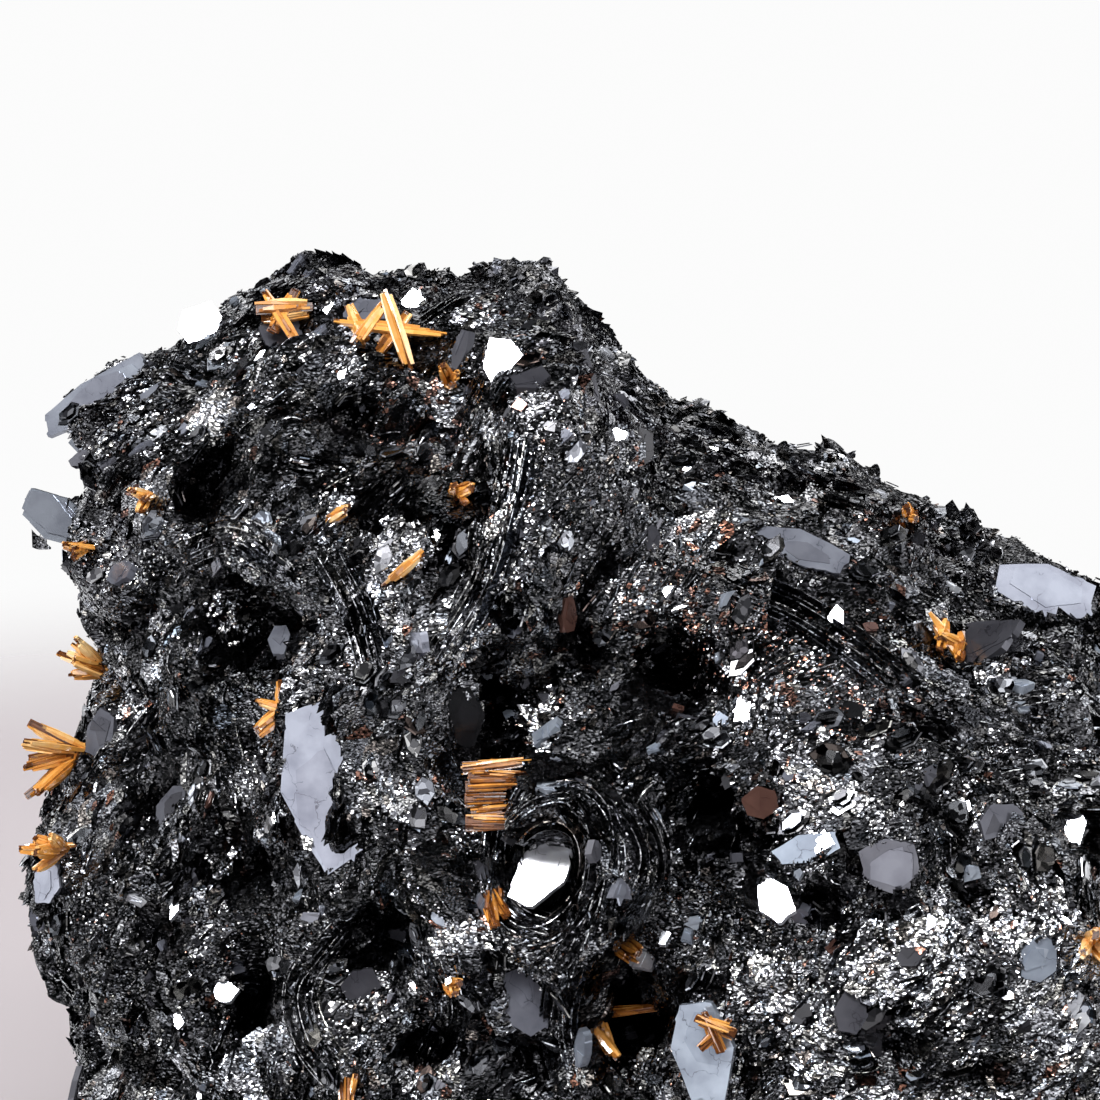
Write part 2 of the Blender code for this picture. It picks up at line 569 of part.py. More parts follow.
def fan_needle(i, count, axes, splay):
    """The same for a fan that spreads from one root."""
    wide = math.tan(math.radians(splay)) * math.sqrt((i + 0.5) / count)
    turn = math.radians(i * GOLDEN_TURN)
    along = axes @ Vector((math.cos(turn) * wide, math.sin(turn) * wide, 1.0)).normalized()
    return along, along * -ROOT_DEPTH


def spray_needles(habit, root, lean, count, length, spread, chance):
    """Each needle of a spray as (foot, direction, length, thickness, roll)."""
    needles = []
    axes = facing_axes(lean)
    for i in range(count):
        long = length * chance.uniform(*NEEDLE_LENGTHS)
        thick = NEEDLE_THICKNESS * chance.uniform(*NEEDLE_THICKNESSES)
        roll = chance.uniform(0, 90)
        if habit == "lattice":
            along, start = lattice_needle(i, axes, length, long, spread, chance)
        elif habit == "mat":
            long = (count - 1) * MAT_PITCH if i == 0 else long
            along, start = mat_needle(i, count, axes, long, spread, chance)
            roll = 90.0
        elif habit == "sheaf":
            along, start = sheaf_needle(i, count, axes, thick, spread, chance)
        else:
            along, start = fan_needle(i, count, axes, spread)
        needles.append((root + start * MM, along, long, thick, roll))
    return needles


def share_buried(tree, needles):
    """How much of the needles' length lies inside the matrix."""
    buried = []
    for foot, along, long, _, _ in needles:
        for share in PROBES:
            point = foot + along * long * share * MM
            nearest, normal, _, _ = tree.find_nearest(point)
            buried.append((point - nearest).dot(normal) < 0)
    return sum(buried) / len(buried)


def raised(tree, needles, lean):
    """The needles, moved out the way they lean until most of their length is free."""
    for _ in range(LIFTS):
        if share_buried(tree, needles) <= MOST_BURIED:
            break
        needles = [(foot + lean * LIFT * MM, *rest) for foot, *rest in needles]
    return needles


def spray_list(tree):
    """Every spray as (name, its needles)."""
    sprays = []
    for number, (name, habit, x, z, lean, count, length, spread) in enumerate(FRONT_SPRAYS):
        chance, lean = random.Random(FRONT_SEED + number), facing(*lean)
        needles = spray_needles(habit, seen_point(tree, x, z), lean, count, length, spread, chance)
        sprays.append((name, raised(tree, needles, lean)))
    for number, (name, habit, way, lean, count, length, spread) in enumerate(HIDDEN_SPRAYS):
        chance, lean = random.Random(HIDDEN_SEED + number), facing(*lean)
        root, _ = outer_point(tree, facing(*way))
        needles = spray_needles(habit, root, lean, count, length, spread, chance)
        sprays.append((name, raised(tree, needles, lean)))
    return sprays


def add_skin(obj):
    skin = obj.modifiers.new("Skin", "REMESH")
    skin.mode = "VOXEL"
    skin.voxel_size = SKIN_GRAIN * MM


def swollen_copy(matrix, collection):
    """The matrix, bigger by the gap all round, as one clean skin."""
    swollen = bpy.data.objects.new("swollen_matrix", matrix.data.copy())
    collection.objects.link(swollen)
    add_skin(swollen)
    swell = swollen.modifiers.new("Gap", "DISPLACE")
    swell.strength = GAP * SKIN_SWELL * MM
    swell.mid_level = 0.0
    add_skin(swollen)
    fewer = swollen.modifiers.new("Facets", "DECIMATE")
    fewer.ratio = SKIN_SHARE
    bake_modifiers(swollen)
    keep_largest(swollen)
    return swollen


def add_sprays(matrix, collection, finish):
    """Grows each spray as one piece that stands just clear of the matrix."""
    swollen = swollen_copy(matrix, collection)
    for name, needles in spray_list(surface_tree(matrix)):
        spray = new_object(name, needle(*needles[0]), collection, finish)
        for further in needles[1:]:
            one = new_object("needle", needle(*further), collection)
            boolean(spray, one, "UNION")
            bpy.data.objects.remove(one)
        boolean(spray, swollen, "DIFFERENCE")
        keep_largest(spray)
    bpy.data.objects.remove(swollen)


def main():
    for obj in list(bpy.data.objects):
        bpy.data.objects.remove(obj)
    noise.seed_set(WARP_SEED)
    collection = bpy.data.collections.new("rutile_on_hematite")
    bpy.context.scene.collection.children.link(collection)
    matrix = rough_mass(collection, hematite_material())
    add_crystals(matrix)
    cut_base(matrix)
    keep_largest(matrix)
    add_sprays(matrix, collection, rutile_material())


main()
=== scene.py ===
"""Looks of the rutile on hematite specimen: a glittering scaly mass, mirror plates and rutile sprays."""

import math
from collections import namedtuple

import bpy
import numpy as np
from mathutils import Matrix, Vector, kdtree, noise
from mathutils.bvhtree import BVHTree


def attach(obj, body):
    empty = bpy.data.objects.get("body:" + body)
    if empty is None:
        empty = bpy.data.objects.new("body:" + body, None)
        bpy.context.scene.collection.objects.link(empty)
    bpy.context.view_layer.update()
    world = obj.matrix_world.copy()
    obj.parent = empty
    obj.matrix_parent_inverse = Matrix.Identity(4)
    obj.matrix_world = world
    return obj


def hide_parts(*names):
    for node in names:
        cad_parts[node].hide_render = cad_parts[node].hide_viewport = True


MM = 0.001
NOISE_SEED = 5
SEEDS = {
    "domains": 3,
    "skin": 5,
    "domain_size": 8,
    "domain_tone": 9,
    "hollows": 17,
    "scales": 21,
    "hidden_plates": 29,
    "rutile": 33,
    "books": 41,
    "blades": 52,
    "small_plates": 61,
    "plates": 71,
}

Hollow = namedtuple("Hollow", "centre way radius depth")
Plate = namedtuple("Plate", "centre normal along long wide look")
Domains = namedtuple("Domains", "seeds planes grain kinds")
Look = namedtuple("Look", "tone tint lift share")

# Camera, as the photograph was taken.
TARGET = Vector((-9.75, 0.0, 52.0)) * MM
TILT = math.radians(12.0)
DISTANCE = 0.33
FRAME_WIDTH = 0.0825
CAMERA = TARGET + Vector((0.0, -math.cos(TILT), math.sin(TILT))) * DISTANCE

# The skin and its domains: patches of the crust in which the crystals lie the same way.
SKIN_VOXEL = 0.65 * MM
DOMAINS = 2600
DOMAIN_LEAN = 0.75
DOMAIN_FLATTEN = 0.55
DOMAIN_STEP = 0.75 * MM
# How a domain's crystals grow: fine glitter, scales, coarse leaves, or bare faces; and the share of each.
FINE, BARE = 0, 3
DOMAIN_KINDS = (0.22, 0.25, 0.27, 0.26)
KIND_SIZE = np.array((0.48, 1.0, 1.9, 0.8))
KIND_LOOSENESS = np.array((0.16, 0.14, 0.05, 0.12))
KIND_COVER = np.array((1.0, 0.9, 0.7, 0.16))

# Scales: how many, the side lengths' middle and limits in mm, and how many of them have 4, 5 and 6 sides.
SCALES_PER_PIECE = 20800
SCALE_PIECES = ("left", "mid_left", "middle", "mid_right", "right")
SCALE_SIZE, LEAST_SCALE, LARGEST_SCALE = 0.34, 0.12, 1.4
SCALE_SIDES, SIDE_SHARES = (4, 5, 6), (0.5, 0.35, 0.15)

# The key light, and the eye-shaped hollow low in the middle, as (x, z) on the plane y = 0 in mm.
KEY_DIRECTION = (-0.35, -0.62, 0.80)
LIGHT_CENTRE = Vector((0.0, 0.0, 0.035))
LIGHT_REACH = 0.6
EYE_HOLLOW = (-10.1, 27.2)
EYE_HALF_LENGTH = 5.6
EYE_HALF_WIDTH = 3.8
EYE_ROLL = math.radians(68.0)
EYE_MOAT_DEPTH = 2.4

# Hollows of the side seen, as (x, z, radius, depth) in mm: x and z are where the line of sight passes y = 0.
HOLLOWS = (
    (-31.2, 46.2, 4.6, 4.4),
    (0.1, 42.7, 3.4, 4.0),
    (-13.5, 39.2, 2.6, 3.0),
    (-14.4, 35.4, 2.2, 3.2),
    (-13.4, 30.6, 2.0, 3.2),
    (-2.1, 15.4, 3.2, 4.4),
    (-4.6, 18.6, 2.0, 3.0),
    (-21.6, 22.3, 2.8, 3.4),
    (13.2, 28.4, 2.4, 3.0),
    (-41.4, 44.3, 2.6, 2.4),
    (-35.2, 57.3, 3.4, 2.8),
    (-25.4, 61.9, 2.6, 2.6),
    (-22.4, 57.4, 2.2, 2.4),
    (-31.6, 15.9, 2.8, 3.2),
    (-34.4, 28.4, 3.4, 3.4),
    (-39.8, 22.4, 2.6, 2.6),
    (-6.7, 45.1, 2.4, 2.4),
    (1.6, 32.6, 2.8, 3.4),
    (19.0, 38.9, 2.0, 1.8),
    (-17.3, 51.2, 2.0, 2.4),
    (-6.7, 40.4, 2.4, 2.8),
    (10.9, 24.3, 2.0, 2.8),
    (6.2, 35.7, 1.8, 2.2),
    (-40.1, 33.4, 3.0, 2.6),
    (-19.7, 12.7, 2.4, 2.8),
    (-5.2, 24.4, 1.4, 2.0),
    (-24.4, 27.6, 1.6, 2.4),
    (22.4, 24.6, 1.8, 2.0),
    (16.2, 25.4, 1.5, 2.2),
    (15.7, 14.4, 2.4, 3.4),
    (21.3, 21.6, 1.4, 2.0),
    (23.9, 11.3, 1.8, 2.4),
    (-7.3, 15.5, 1.6, 2.4),
    (12.2, 22.2, 1.4, 2.4),
    (5.2, 44.8, 1.8, 2.0),
    (-29.0, 30.0, 1.4, 1.8),
)
HIDDEN_HOLLOWS = 46

# Where fine scales mirror the light, and where their colour is lifted as painted highlight: capsules (x, z,
# x, z, radius, strength) on the plane y = 0 in mm.
SILVER_PATCHES = (
    (-13.1, 71.7, -10.1, 63.4, 2.6, 0.5),
    (-10.1, 62.4, -11.6, 51.2, 3.0, 0.7),
    (-15.2, 48.6, -18.2, 42.6, 2.4, 0.55),
    (-3.0, 52.8, -3.0, 58.1, 2.8, 0.4),
    (17.1, 17.3, 27.5, 20.4, 6.6, 0.9),
    (13.3, 10.9, 27.9, 11.9, 6.2, 0.9),
    (6.3, 20.7, 11.0, 14.0, 3.6, 0.9),
    (-22.0, 34.4, -19.2, 30.6, 3.2, 0.55),
    (12.0, 37.5, 25.3, 34.7, 3.8, 0.5),
    (5.1, 42.2, 13.0, 37.0, 3.0, 0.45),
    (-38.8, 63.4, -34.0, 60.0, 3.2, 0.4),
    (-27.0, 50.5, -24.0, 48.5, 2.4, 0.4),
    (-17.4, 19.9, -11.3, 21.0, 2.0, 0.5),
    (-25.1, 16.7, -24.0, 11.0, 2.2, 0.4),
    (-5.5, 33.0, -2.0, 26.0, 2.0, 0.4),
    (16.6, 45.6, 24.0, 40.0, 2.6, 0.4),
    (-1.0, 47.6, 15.0, 40.0, 3.6, 0.6),
    (-1.5, 22.5, 5.0, 17.0, 2.6, 0.5),
    (4.0, 36.5, 12.0, 32.5, 2.6, 0.4),
    (-8.5, 8.5, -3.0, 12.0, 2.4, 0.4),
)
COARSE_PATCHES = slice(4, 7)  # the silver patches in which the scales are coarse
COPPER_PATCHES = (
    (-1.0, 47.6, 15.0, 40.0, 3.6, 1.0),
    (12.0, 47.0, 17.0, 55.0, 2.4, 0.8),
    (-21.0, 64.0, -19.0, 58.0, 2.6, 0.7),
)
HIDDEN_SILVER_SPAN = 9.0  # mm between the bright patches of the other sides
GLINT_SPAN = 3.2  # mm between the lesser bright spots of the side seen
GLINT_PLACE = Vector((3.0, 8.0, 5.0))

# Mirror plates of the side seen, as (x, z, half length, half width, roll, look), in mm and degrees.
PLATES = (
    (-35.7, 69.0, 2.0, 1.4, 50, "white"),
    (-13.1, 66.0, 2.4, 1.3, 104, "white"),
    (-27.0, 33.8, 6.3, 2.7, 108, "grey"),
    (-9.9, 25.9, 3.3, 1.7, 64, "raised"),
    (-2.9, 20.2, 1.4, 0.9, -36, "white"),
    (-11.7, 16.7, 2.9, 1.6, 120, "grey"),
    (9.7, 28.8, 2.4, 0.9, 17, "pale"),
    (11.0, 29.2, 1.0, 0.7, 10, "white"),
    (27.5, 48.8, 4.5, 2.3, -17, "grey"),
    (21.6, 44.6, 4.8, 2.0, -20, "dim"),
    (24.3, 44.8, 1.3, 0.4, -12, "white"),
    (9.0, 52.2, 3.8, 1.3, -26, "grey"),
    (-16.2, 39.0, 2.3, 1.3, 95, "dark"),
    (16.3, 27.4, 2.3, 2.0, 8, "dim"),
    (1.9, 12.3, 3.8, 1.9, 96, "pale"),
    (-24.3, 17.9, 1.4, 1.0, 30, "dim"),
    (-43.8, 37.7, 2.0, 1.4, 60, "dim"),
    (-23.1, 70.2, 2.0, 1.0, 5, "grey"),
    (-29.6, 68.4, 1.7, 1.3, 20, "dim"),
    (-48.0, 26.3, 2.0, 1.3, 80, "grey"),
    (6.3, 32.4, 1.5, 1.1, 15, "copper"),
    (7.4, 24.7, 1.7, 1.0, 120, "white"),
    (24.4, 31.0, 1.8, 1.1, 30, "dim"),
    (27.7, 19.9, 1.7, 1.2, 60, "pale"),
    (13.3, 15.9, 1.7, 1.1, 75, "dim"),
    (-4.3, 25.3, 1.0, 0.8, 60, "grey"),
    (1.3, 23.0, 0.8, 0.5, 20, "pale"),
    (-19.8, 44.9, 1.0, 0.8, 20, "grey"),
    (-10.1, 37.9, 1.2, 0.8, 15, "pale"),
    (-4.9, 60.6, 1.0, 0.5, -10, "white"),
    (11.9, 46.5, 1.0, 0.8, 80, "white"),
    (-1.0, 48.8, 0.6, 0.5, 0, "white"),
    (-18.2, 53.4, 0.8, 0.5, 80, "white"),
    (-22.1, 54.1, 0.7, 0.4, 20, "white"),
    (-38.6, 24.1, 1.2, 0.7, 70, "white"),
    (-34.9, 17.4, 1.3, 0.8, -30, "white"),
    (-42.0, 50.3, 1.6, 1.0, -20, "grey"),
    (-30.1, 45.1, 1.6, 0.7, 100, "grey"),
    (-16.4, 67.2, 1.6, 0.7, 95, "dim"),
    (-19.9, 70.9, 1.1, 0.8, 40, "white"),
    (-21.4, 45.1, 1.2, 0.5, 40, "pale"),
    (-8.4, 47.0, 1.4, 0.8, 80, "copper"),
    (30.2, 30.2, 1.2, 0.9, 60, "white"),
    (25.7, 41.6, 1.0, 0.7, 70, "pale"),
    (-7.4, 12.7, 1.6, 0.7, 60, "pale"),
    (14.8, 13.5, 1.6, 0.8, 110, "dark"),
    (-6.3, 28.7, 1.0, 0.5, 60, "dim"),
    (-28.8, 25.1, 0.9, 0.5, 70, "pale"),
    (0.8, 38.9, 1.2, 0.5, 50, "dim"),
)
# Blades that stand out at the left end, as (x, y, z, half length, half width, turn, tilt, roll, look).
BLADE_PLATES = (
    (-44.8, 12.0, 61.6, 5.0, 1.5, -25, 20, 30, "blade"),
    (-44.2, 11.0, 57.4, 3.3, 1.4, -30, 10, -25, "blade"),
    (-47.8, 12.0, 51.8, 3.5, 1.7, -25, 12, -24, "blade"),
)
# The looks of plates: how bright, how warm (0.5 is neutral), how far a plate that mirrors the key light
# stands out as a share of its half length, and the share of the small plates that look so.
# How bright is in part painted reflection: on the side seen it gives each plate the brightness that it
# shows as it mirrors the key light or the dark room, over its own steely colour.
LOOKS = {
    "white": Look(1.0, 0.5, 0.12, 0.14),
    "raised": Look(1.0, 0.5, 0.9, 0.0),
    "light": Look(0.8, 0.45, None, 0.04),
    "blade": Look(0.68, 0.46, None, 0.0),
    "pale": Look(0.8, 0.3, None, 0.1),
    "grey": Look(0.55, 0.45, None, 0.12),
    "dim": Look(0.3, 0.5, None, 0.26),
    "dark": Look(0.05, 0.5, None, 0.29),
    "copper": Look(0.45, 1.0, None, 0.05),
}
PLATE_ROOT, PLATE_TOP = 0.5 * MM, 0.12 * MM  # how far a plate goes below and above its place
LAYER_TOP, LAYER_STEP = 0.17 * MM, 0.05 * MM  # its growth layers
SMALL_PLATES = 620
SMALL_PLATE_SIZE = 0.62 * MM
HIDDEN_PLATES = 38
HIDDEN_PLATE_SIZES = (1.3, 4.6)
HIDDEN_LOOKS = ("light", "grey", "pale", "dim", "dark")
SHARD_LENGTH = 1.25 * MM
BOOKS = 420
BOOK_LEAVES = 6
TABLET_TAPER = 0.92
LEAF_STEP, LEAF_THICKNESS = 0.16 * MM, 0.09 * MM
BLADES = 1400
BLADE_STEPS, BLADE_STEP = 8, 0.42 * MM
# Laminated bands, as the points (x, z) that they run through on the plane y = 0, in mm.
BANDS = (
    ((-6.8, 33.4), (-5.1, 28.7), (-6.0, 23.1), (-7.9, 19.9), (-9.0, 15.1), (-7.9, 9.5)),
    ((-4.1, 33.4), (-1.9, 28.7), (-2.3, 24.7)),
    ((-11.2, 35.0), (-13.1, 31.0), (-13.7, 27.1), (-12.4, 23.5), (-9.0, 22.3)),
    ((-25.5, 22.3), (-28.4, 18.3), (-27.7, 13.5), (-24.7, 9.5)),
    ((-18.0, 20.7), (-16.9, 15.9), (-18.7, 11.9)),
    ((-11.8, 60.5), (-12.6, 55.0), (-14.4, 49.0), (-17.6, 44.0)),
    ((-26.5, 52.5), (-24.0, 48.0), (-22.6, 42.5)),
    ((3.0, 50.0), (10.0, 46.5), (17.0, 41.5)),
    ((-38.0, 52.0), (-33.0, 53.5), (-29.0, 50.5)),
)
BAND_BLADES = 7
BAND_PITCH = 0.42
BAND_STEPS = 18
RING_STEPS = 26

# Rutile bars: how wide they grow, and the sprays of fine ones.
BROAD_BAR = 0.24
SMALL_BAR = 0.15
FINE_BAR = 0.1
SMALL_SPRAY = 2.6 * MM
BAR_STEPS = 3
BROAD_BARS, FINE_BARS = 3, 5  # along each ridge
RIDGE_SHARPNESS = 0.75
LEAST_RIDGE = 0.25 * MM
SAME_RIDGE = 0.06 * MM
LEAST_BAR = 0.9 * MM
ROOT_REACH, ROOT_LENGTH = 1.2 * MM, 0.9 * MM
BAR_TILT = 0.03 * MM
FINE_SPRAYS = {
    "rutile_cleft_bundle",
    "rutile_cleft_tail",
    "rutile_pit_bundle",
    "rutile_pit_needle",
    "rutile_prism_bars",
    "rutile_foot_bundle",
    "rutile_back_mat",
    "rutile_left_end_mat",
}

CAMERA_POINT = np.array(CAMERA)
KEY_POINT = np.array(LIGHT_CENTRE + Vector(KEY_DIRECTION).normalized() * LIGHT_REACH)

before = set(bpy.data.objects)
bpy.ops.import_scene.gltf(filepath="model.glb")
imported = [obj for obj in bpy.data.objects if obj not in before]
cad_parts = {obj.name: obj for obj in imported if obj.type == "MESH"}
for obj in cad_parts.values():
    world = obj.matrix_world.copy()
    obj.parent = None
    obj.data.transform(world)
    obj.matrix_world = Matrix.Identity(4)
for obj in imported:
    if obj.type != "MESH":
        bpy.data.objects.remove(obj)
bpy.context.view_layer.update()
noise.seed_set(NOISE_SEED)


def seeded(name):
    """The random numbers for one kind of thing, so that each kind keeps its own."""
    return np.random.default_rng(SEEDS[name])


# Meshes.


def mesh_piece(name, points, faces, material, tones, tints):
    """A mesh from arrays: points (n, 3) and faces, a list of (m, k) index arrays of k-sided faces."""
    mesh = bpy.data.meshes.new(name)
    mesh.vertices.add(len(points))
    mesh.vertices.foreach_set("co", np.asarray(points, dtype=np.float32).ravel())
    loops = np.concatenate([f.ravel() for f in faces]).astype(np.int32)
    sizes = np.concatenate([np.full(len(f), f.shape[1]) for f in faces])
    starts = np.concatenate([[0], np.cumsum(sizes)[:-1]]).astype(np.int32)
    mesh.loops.add(len(loops))
    mesh.loops.foreach_set("vertex_index", loops)
    mesh.polygons.add(len(sizes))
    mesh.polygons.foreach_set("loop_start", starts)
    face_values(mesh, "tone", tones)
    face_values(mesh, "tint", tints)
    mesh.update(calc_edges=True)
    mesh.validate()
    mesh.shade_flat()
    mesh.materials.append(material)
    return linked(name, mesh)


def linked(name, data):
    """A new object in the scene."""
    obj = bpy.data.objects.new(name, data)
    bpy.context.scene.collection.objects.link(obj)
    return obj


def face_values(mesh, name, values):
    """One number for each face, which the materials read."""
    layer = mesh.attributes.new(name, "FLOAT", "FACE")
    layer.data.foreach_set("value", np.asarray(values, dtype=np.float32))


def unit(v):
    """Vectors made one long."""
    return v / np.maximum(np.linalg.norm(v, axis=-1, keepdims=True), 1e-12)


def loose_rings(normals, alongs, half_lengths, half_widths, corners, loose, rng):
    """Uneven outlines round a middle at 0, one for each normal, with the ways along them."""
    count = len(normals)
    alongs = unit(alongs - normals * np.sum(alongs * normals, axis=1, keepdims=True))
    across = np.cross(normals, alongs)
    turn = np.arange(corners) / corners * 2 * math.pi + rng.uniform(-loose, loose, (count, corners))
    reach = rng.uniform(0.72, 1.12, (count, corners))
    u = (np.cos(turn) * reach * half_lengths[:, None])[..., None] * alongs[:, None, :]
    v = (np.sin(turn) * reach * half_widths[:, None])[..., None] * across[:, None, :]
    return u + v, alongs


def tablets(centres, normals, alongs, half_lengths, half_widths, thickness, corners, rng):
    """Closed flat prisms: their points, and their faces grouped by number of sides."""
    count = len(centres)
    ring, _ = loose_rings(normals, alongs, half_lengths, half_widths, corners, 0.22, rng)
    half = thickness / 2 * normals[:, None, :]
    top = centres[:, None, :] + ring * TABLET_TAPER + half
    bottom = centres[:, None, :] + ring - half
    points = np.concatenate([top, bottom], axis=1).reshape(-1, 3)
    base = (np.arange(count) * 2 * corners)[:, None]
    order = np.arange(corners)
    upper = base + order
    lower = base + corners + order[::-1]
    after = (order + 1) % corners
    sides = np.stack([order, order + corners, after + corners, after], axis=1)
    side_faces = (base[:, :, None] + sides[None, :, :]).reshape(-1, 4)
    return points, [np.concatenate([upper, lower]), side_faces]


def chips(centres, normals, alongs, half_lengths, half_widths, depths, corners, rng):
    """Closed wedge-shaped scales: a flat face with so many corners over a point below it."""
    count = len(centres)
    ring, alongs = loose_rings(normals, alongs, half_lengths, half_widths, corners, 0.3, rng)
    slip = alongs * (half_lengths * rng.uniform(-0.5, 0.5, count))[:, None]
    tip = centres + slip - normals * depths[:, None]
    points = np.concatenate([centres[:, None, :] + ring, tip[:, None, :]], axis=1).reshape(-1, 3)
    base = (np.arange(count) * (corners + 1))[:, None]
    order = np.arange(corners)
    after = (order + 1) % corners
    sides = np.stack([after, order, np.full(corners, corners)], axis=1)
    side_faces = (base[:, :, None] + sides[None, :, :]).reshape(-1, 3)
    return points, [base + order, side_faces]


def swept_blades(paths, ups, heights, thick):
    """Closed thin blades that stand on the crust along paths (count, steps, 3) and narrow to both ends."""
    count, steps = paths.shape[:2]
    forward = unit(np.gradient(paths, axis=1))
    sides = unit(np.cross(forward, ups))
    swell = np.sin(np.linspace(0.12, math.pi - 0.12, steps)) ** 0.6
    rise = ups * (heights[:, None] * swell[None, :])[..., None]
    half = sides * (thick[:, None] * (0.4 + 0.6 * swell[None, :]))[..., None] / 2
    root = paths - ups * (heights[:, None, None] * 0.6)
    ring = np.stack([root - half, root + half, paths + rise + half * 0.4, paths + rise - half * 0.4], axis=2)
    points = ring.reshape(-1, 3)
    base = (np.arange(count) * steps * 4)[:, None]
    order = np.arange(4)
    after = (order + 1) % 4
    strip = np.stack([order, order + 4, after + 4, after], axis=1)
    strips = np.concatenate([strip + s * 4 for s in range(steps - 1)])
    side_faces = (base[:, :, None] + strips[None]).reshape(-1, 4)
    caps = np.array([[0, 1, 2, 3], [3, 2, 1, 0]]) + np.array([[0], [(steps - 1) * 4]])
    cap_faces = (base[:, :, None] + caps[None]).reshape(-1, 4)
    return points, [side_faces, cap_faces], (steps - 1) * 4


class Gathered:
    """Meshes gathered into one piece, with a tone and a tint for each face."""

    def __init__(self):
        self.points, self.faces, self.tones, self.tints, self.count = [], [], [], [], 0

    def add(self, points, faces, tones, tints):
        """Adds solids; tones and tints hold one value for each face of each group, group after group."""
        self.points.append(points)
        for group, tone, tint in zip(faces, tones, tints):
            self.faces.append(group + self.count)
            self.tones.append(tone)
            self.tints.append(tint)
        self.count += len(points)

    def piece(self, name, material):
        return mesh_piece(
            name,
            np.concatenate(self.points),
            self.faces,
            material,
            np.concatenate(self.tones),
            np.concatenate(self.tints),
        )


# Materials.


class Graph:
    """The nodes of a material or of the world, with short ways to add and link them."""

    def __init__(self, tree):
        self.nodes, self.links = tree.nodes, tree.links

    def add(self, kind, **values):
        """A node with some of its properties or inputs set."""
        node = self.nodes.new("ShaderNode" + kind)
        for key, value in values.items():
            if hasattr(node, key):
                setattr(node, key, value)
            else:
                node.inputs[key.replace("_", " ")].default_value = value
        return node

    def feed(self, sockets, values):
        """Links each socket to an output, or sets it to a plain value."""
        for socket, value in zip(sockets, values):
            if isinstance(value, bpy.types.NodeSocket):
                self.links.new(value, socket)
            else:
                socket.default_value = value

    def coords(self):
        return self.add("TexCoord").outputs["Object"]

    def math(self, operation, *values):
        node = self.add("Math", operation=operation)
        self.feed(node.inputs, values)
        return node.outputs[0]

    def vector(self, operation, *values):
        node = self.add("VectorMath", operation=operation)
        self.feed(node.inputs, values)
        return node.outputs[0]

    def noise(self, coords, scale, detail):
        node = self.add("TexNoise", Scale=scale, Detail=detail)
        self.links.new(coords, node.inputs["Vector"])
        return node.outputs

    def ramp(self, source, stops):
        """A colour that runs through the stops as the source grows."""
        node = self.add("ValToRGB")
        elements = node.color_ramp.elements
        while len(elements) > 1:
            elements.remove(elements[-1])
        elements[0].position, elements[0].color = stops[0][0], (*stops[0][1], 1.0)
        for place, colour in stops[1:]:
            elements.new(place).color = (*colour, 1.0)
        self.links.new(source, node.inputs["Fac"])
        return node.outputs["Color"]

    def face_ramp(self, name, stops):
        """A colour from a value that each face has."""
        return self.ramp(self.add("Attribute", attribute_name=name).outputs["Fac"], stops)

    def multiplied(self, first, second):
        """Two colours multiplied."""
        mix = self.add("Mix", data_type="RGBA", blend_type="MULTIPLY", Factor=1.0)
        self.feed(mix.inputs[6:8], (first, second))
        return mix.outputs[2]

    def wandering(self, coords, place, scale, detail, amount):
        """A place shifted by noise, so that straight borders wander."""
        shift = self.noise(coords, scale, detail)["Color"]
        return self.vector("MULTIPLY_ADD", shift, (amount, amount, amount), place)

    def bump(self, height, strength, distance, shader):
        """Low relief on a shader."""
        node = self.add("Bump", Strength=strength, Distance=distance)
        self.links.new(height, node.inputs["Height"])
        self.links.new(node.outputs["Normal"], shader.inputs["Normal"])


def new_material(name):
    """A new material, its graph and its shader."""
    material = bpy.data.materials.new(name)
    material.use_nodes = True
    return material, Graph(material.node_tree), material.node_tree.nodes["Principled BSDF"]


# Colours by a face's tone, from dark to bright, and by its tint, from bluish over neutral to coppery.
HEMATITE_SHADES = [
    (0.0, (0.012, 0.011, 0.012)),
    (0.3, (0.09, 0.09, 0.095)),
    (0.6, (0.34, 0.34, 0.36)),
    (1.0, (0.78, 0.79, 0.81)),
]
PLATE_SHADES = [
    (0.0, (0.02, 0.02, 0.022)),
    (0.3, (0.09, 0.09, 0.105)),
    (0.55, (0.29, 0.30, 0.35)),
    (0.8, (0.42, 0.46, 0.52)),
    (1.0, (0.86, 0.88, 0.92)),
]
RUTILE_SHADES = [
    (0.08, (0.035, 0.010, 0.004)),
    (0.3, (0.24, 0.075, 0.012)),
    (0.55, (0.66, 0.27, 0.045)),
    (0.75, (0.86, 0.42, 0.10)),
    (0.95, (0.98, 0.72, 0.36)),
]
TINTS = [
    (0.0, (0.72, 0.86, 1.0)),
    (0.3, (0.92, 0.96, 1.0)),
    (0.5, (1.0, 1.0, 1.0)),
    (0.7, (1.0, 0.97, 0.86)),
    (0.85, (0.8, 0.5, 0.4)),
    (1.0, (0.62, 0.3, 0.2)),
]
# What else darkens them: chance from facet to facet, cracks, and worn patches.
FACET_SHADES = [(0.25, (0.16, 0.16, 0.17)), (0.7, (1.0, 1.0, 1.0))]
CRACK_SHADES = [(0.0, (0.4, 0.39, 0.4)), (0.014, (1.0, 1.0, 1.0))]
WEAR_SHADES = [(0.3, (0.62, 0.62, 0.65)), (0.62, (1.0, 1.0, 1.0))]
FACET_TURN = (0.5, 0.7, 0.2)
FACET_ROUGHNESS = (0.06, 0.26)


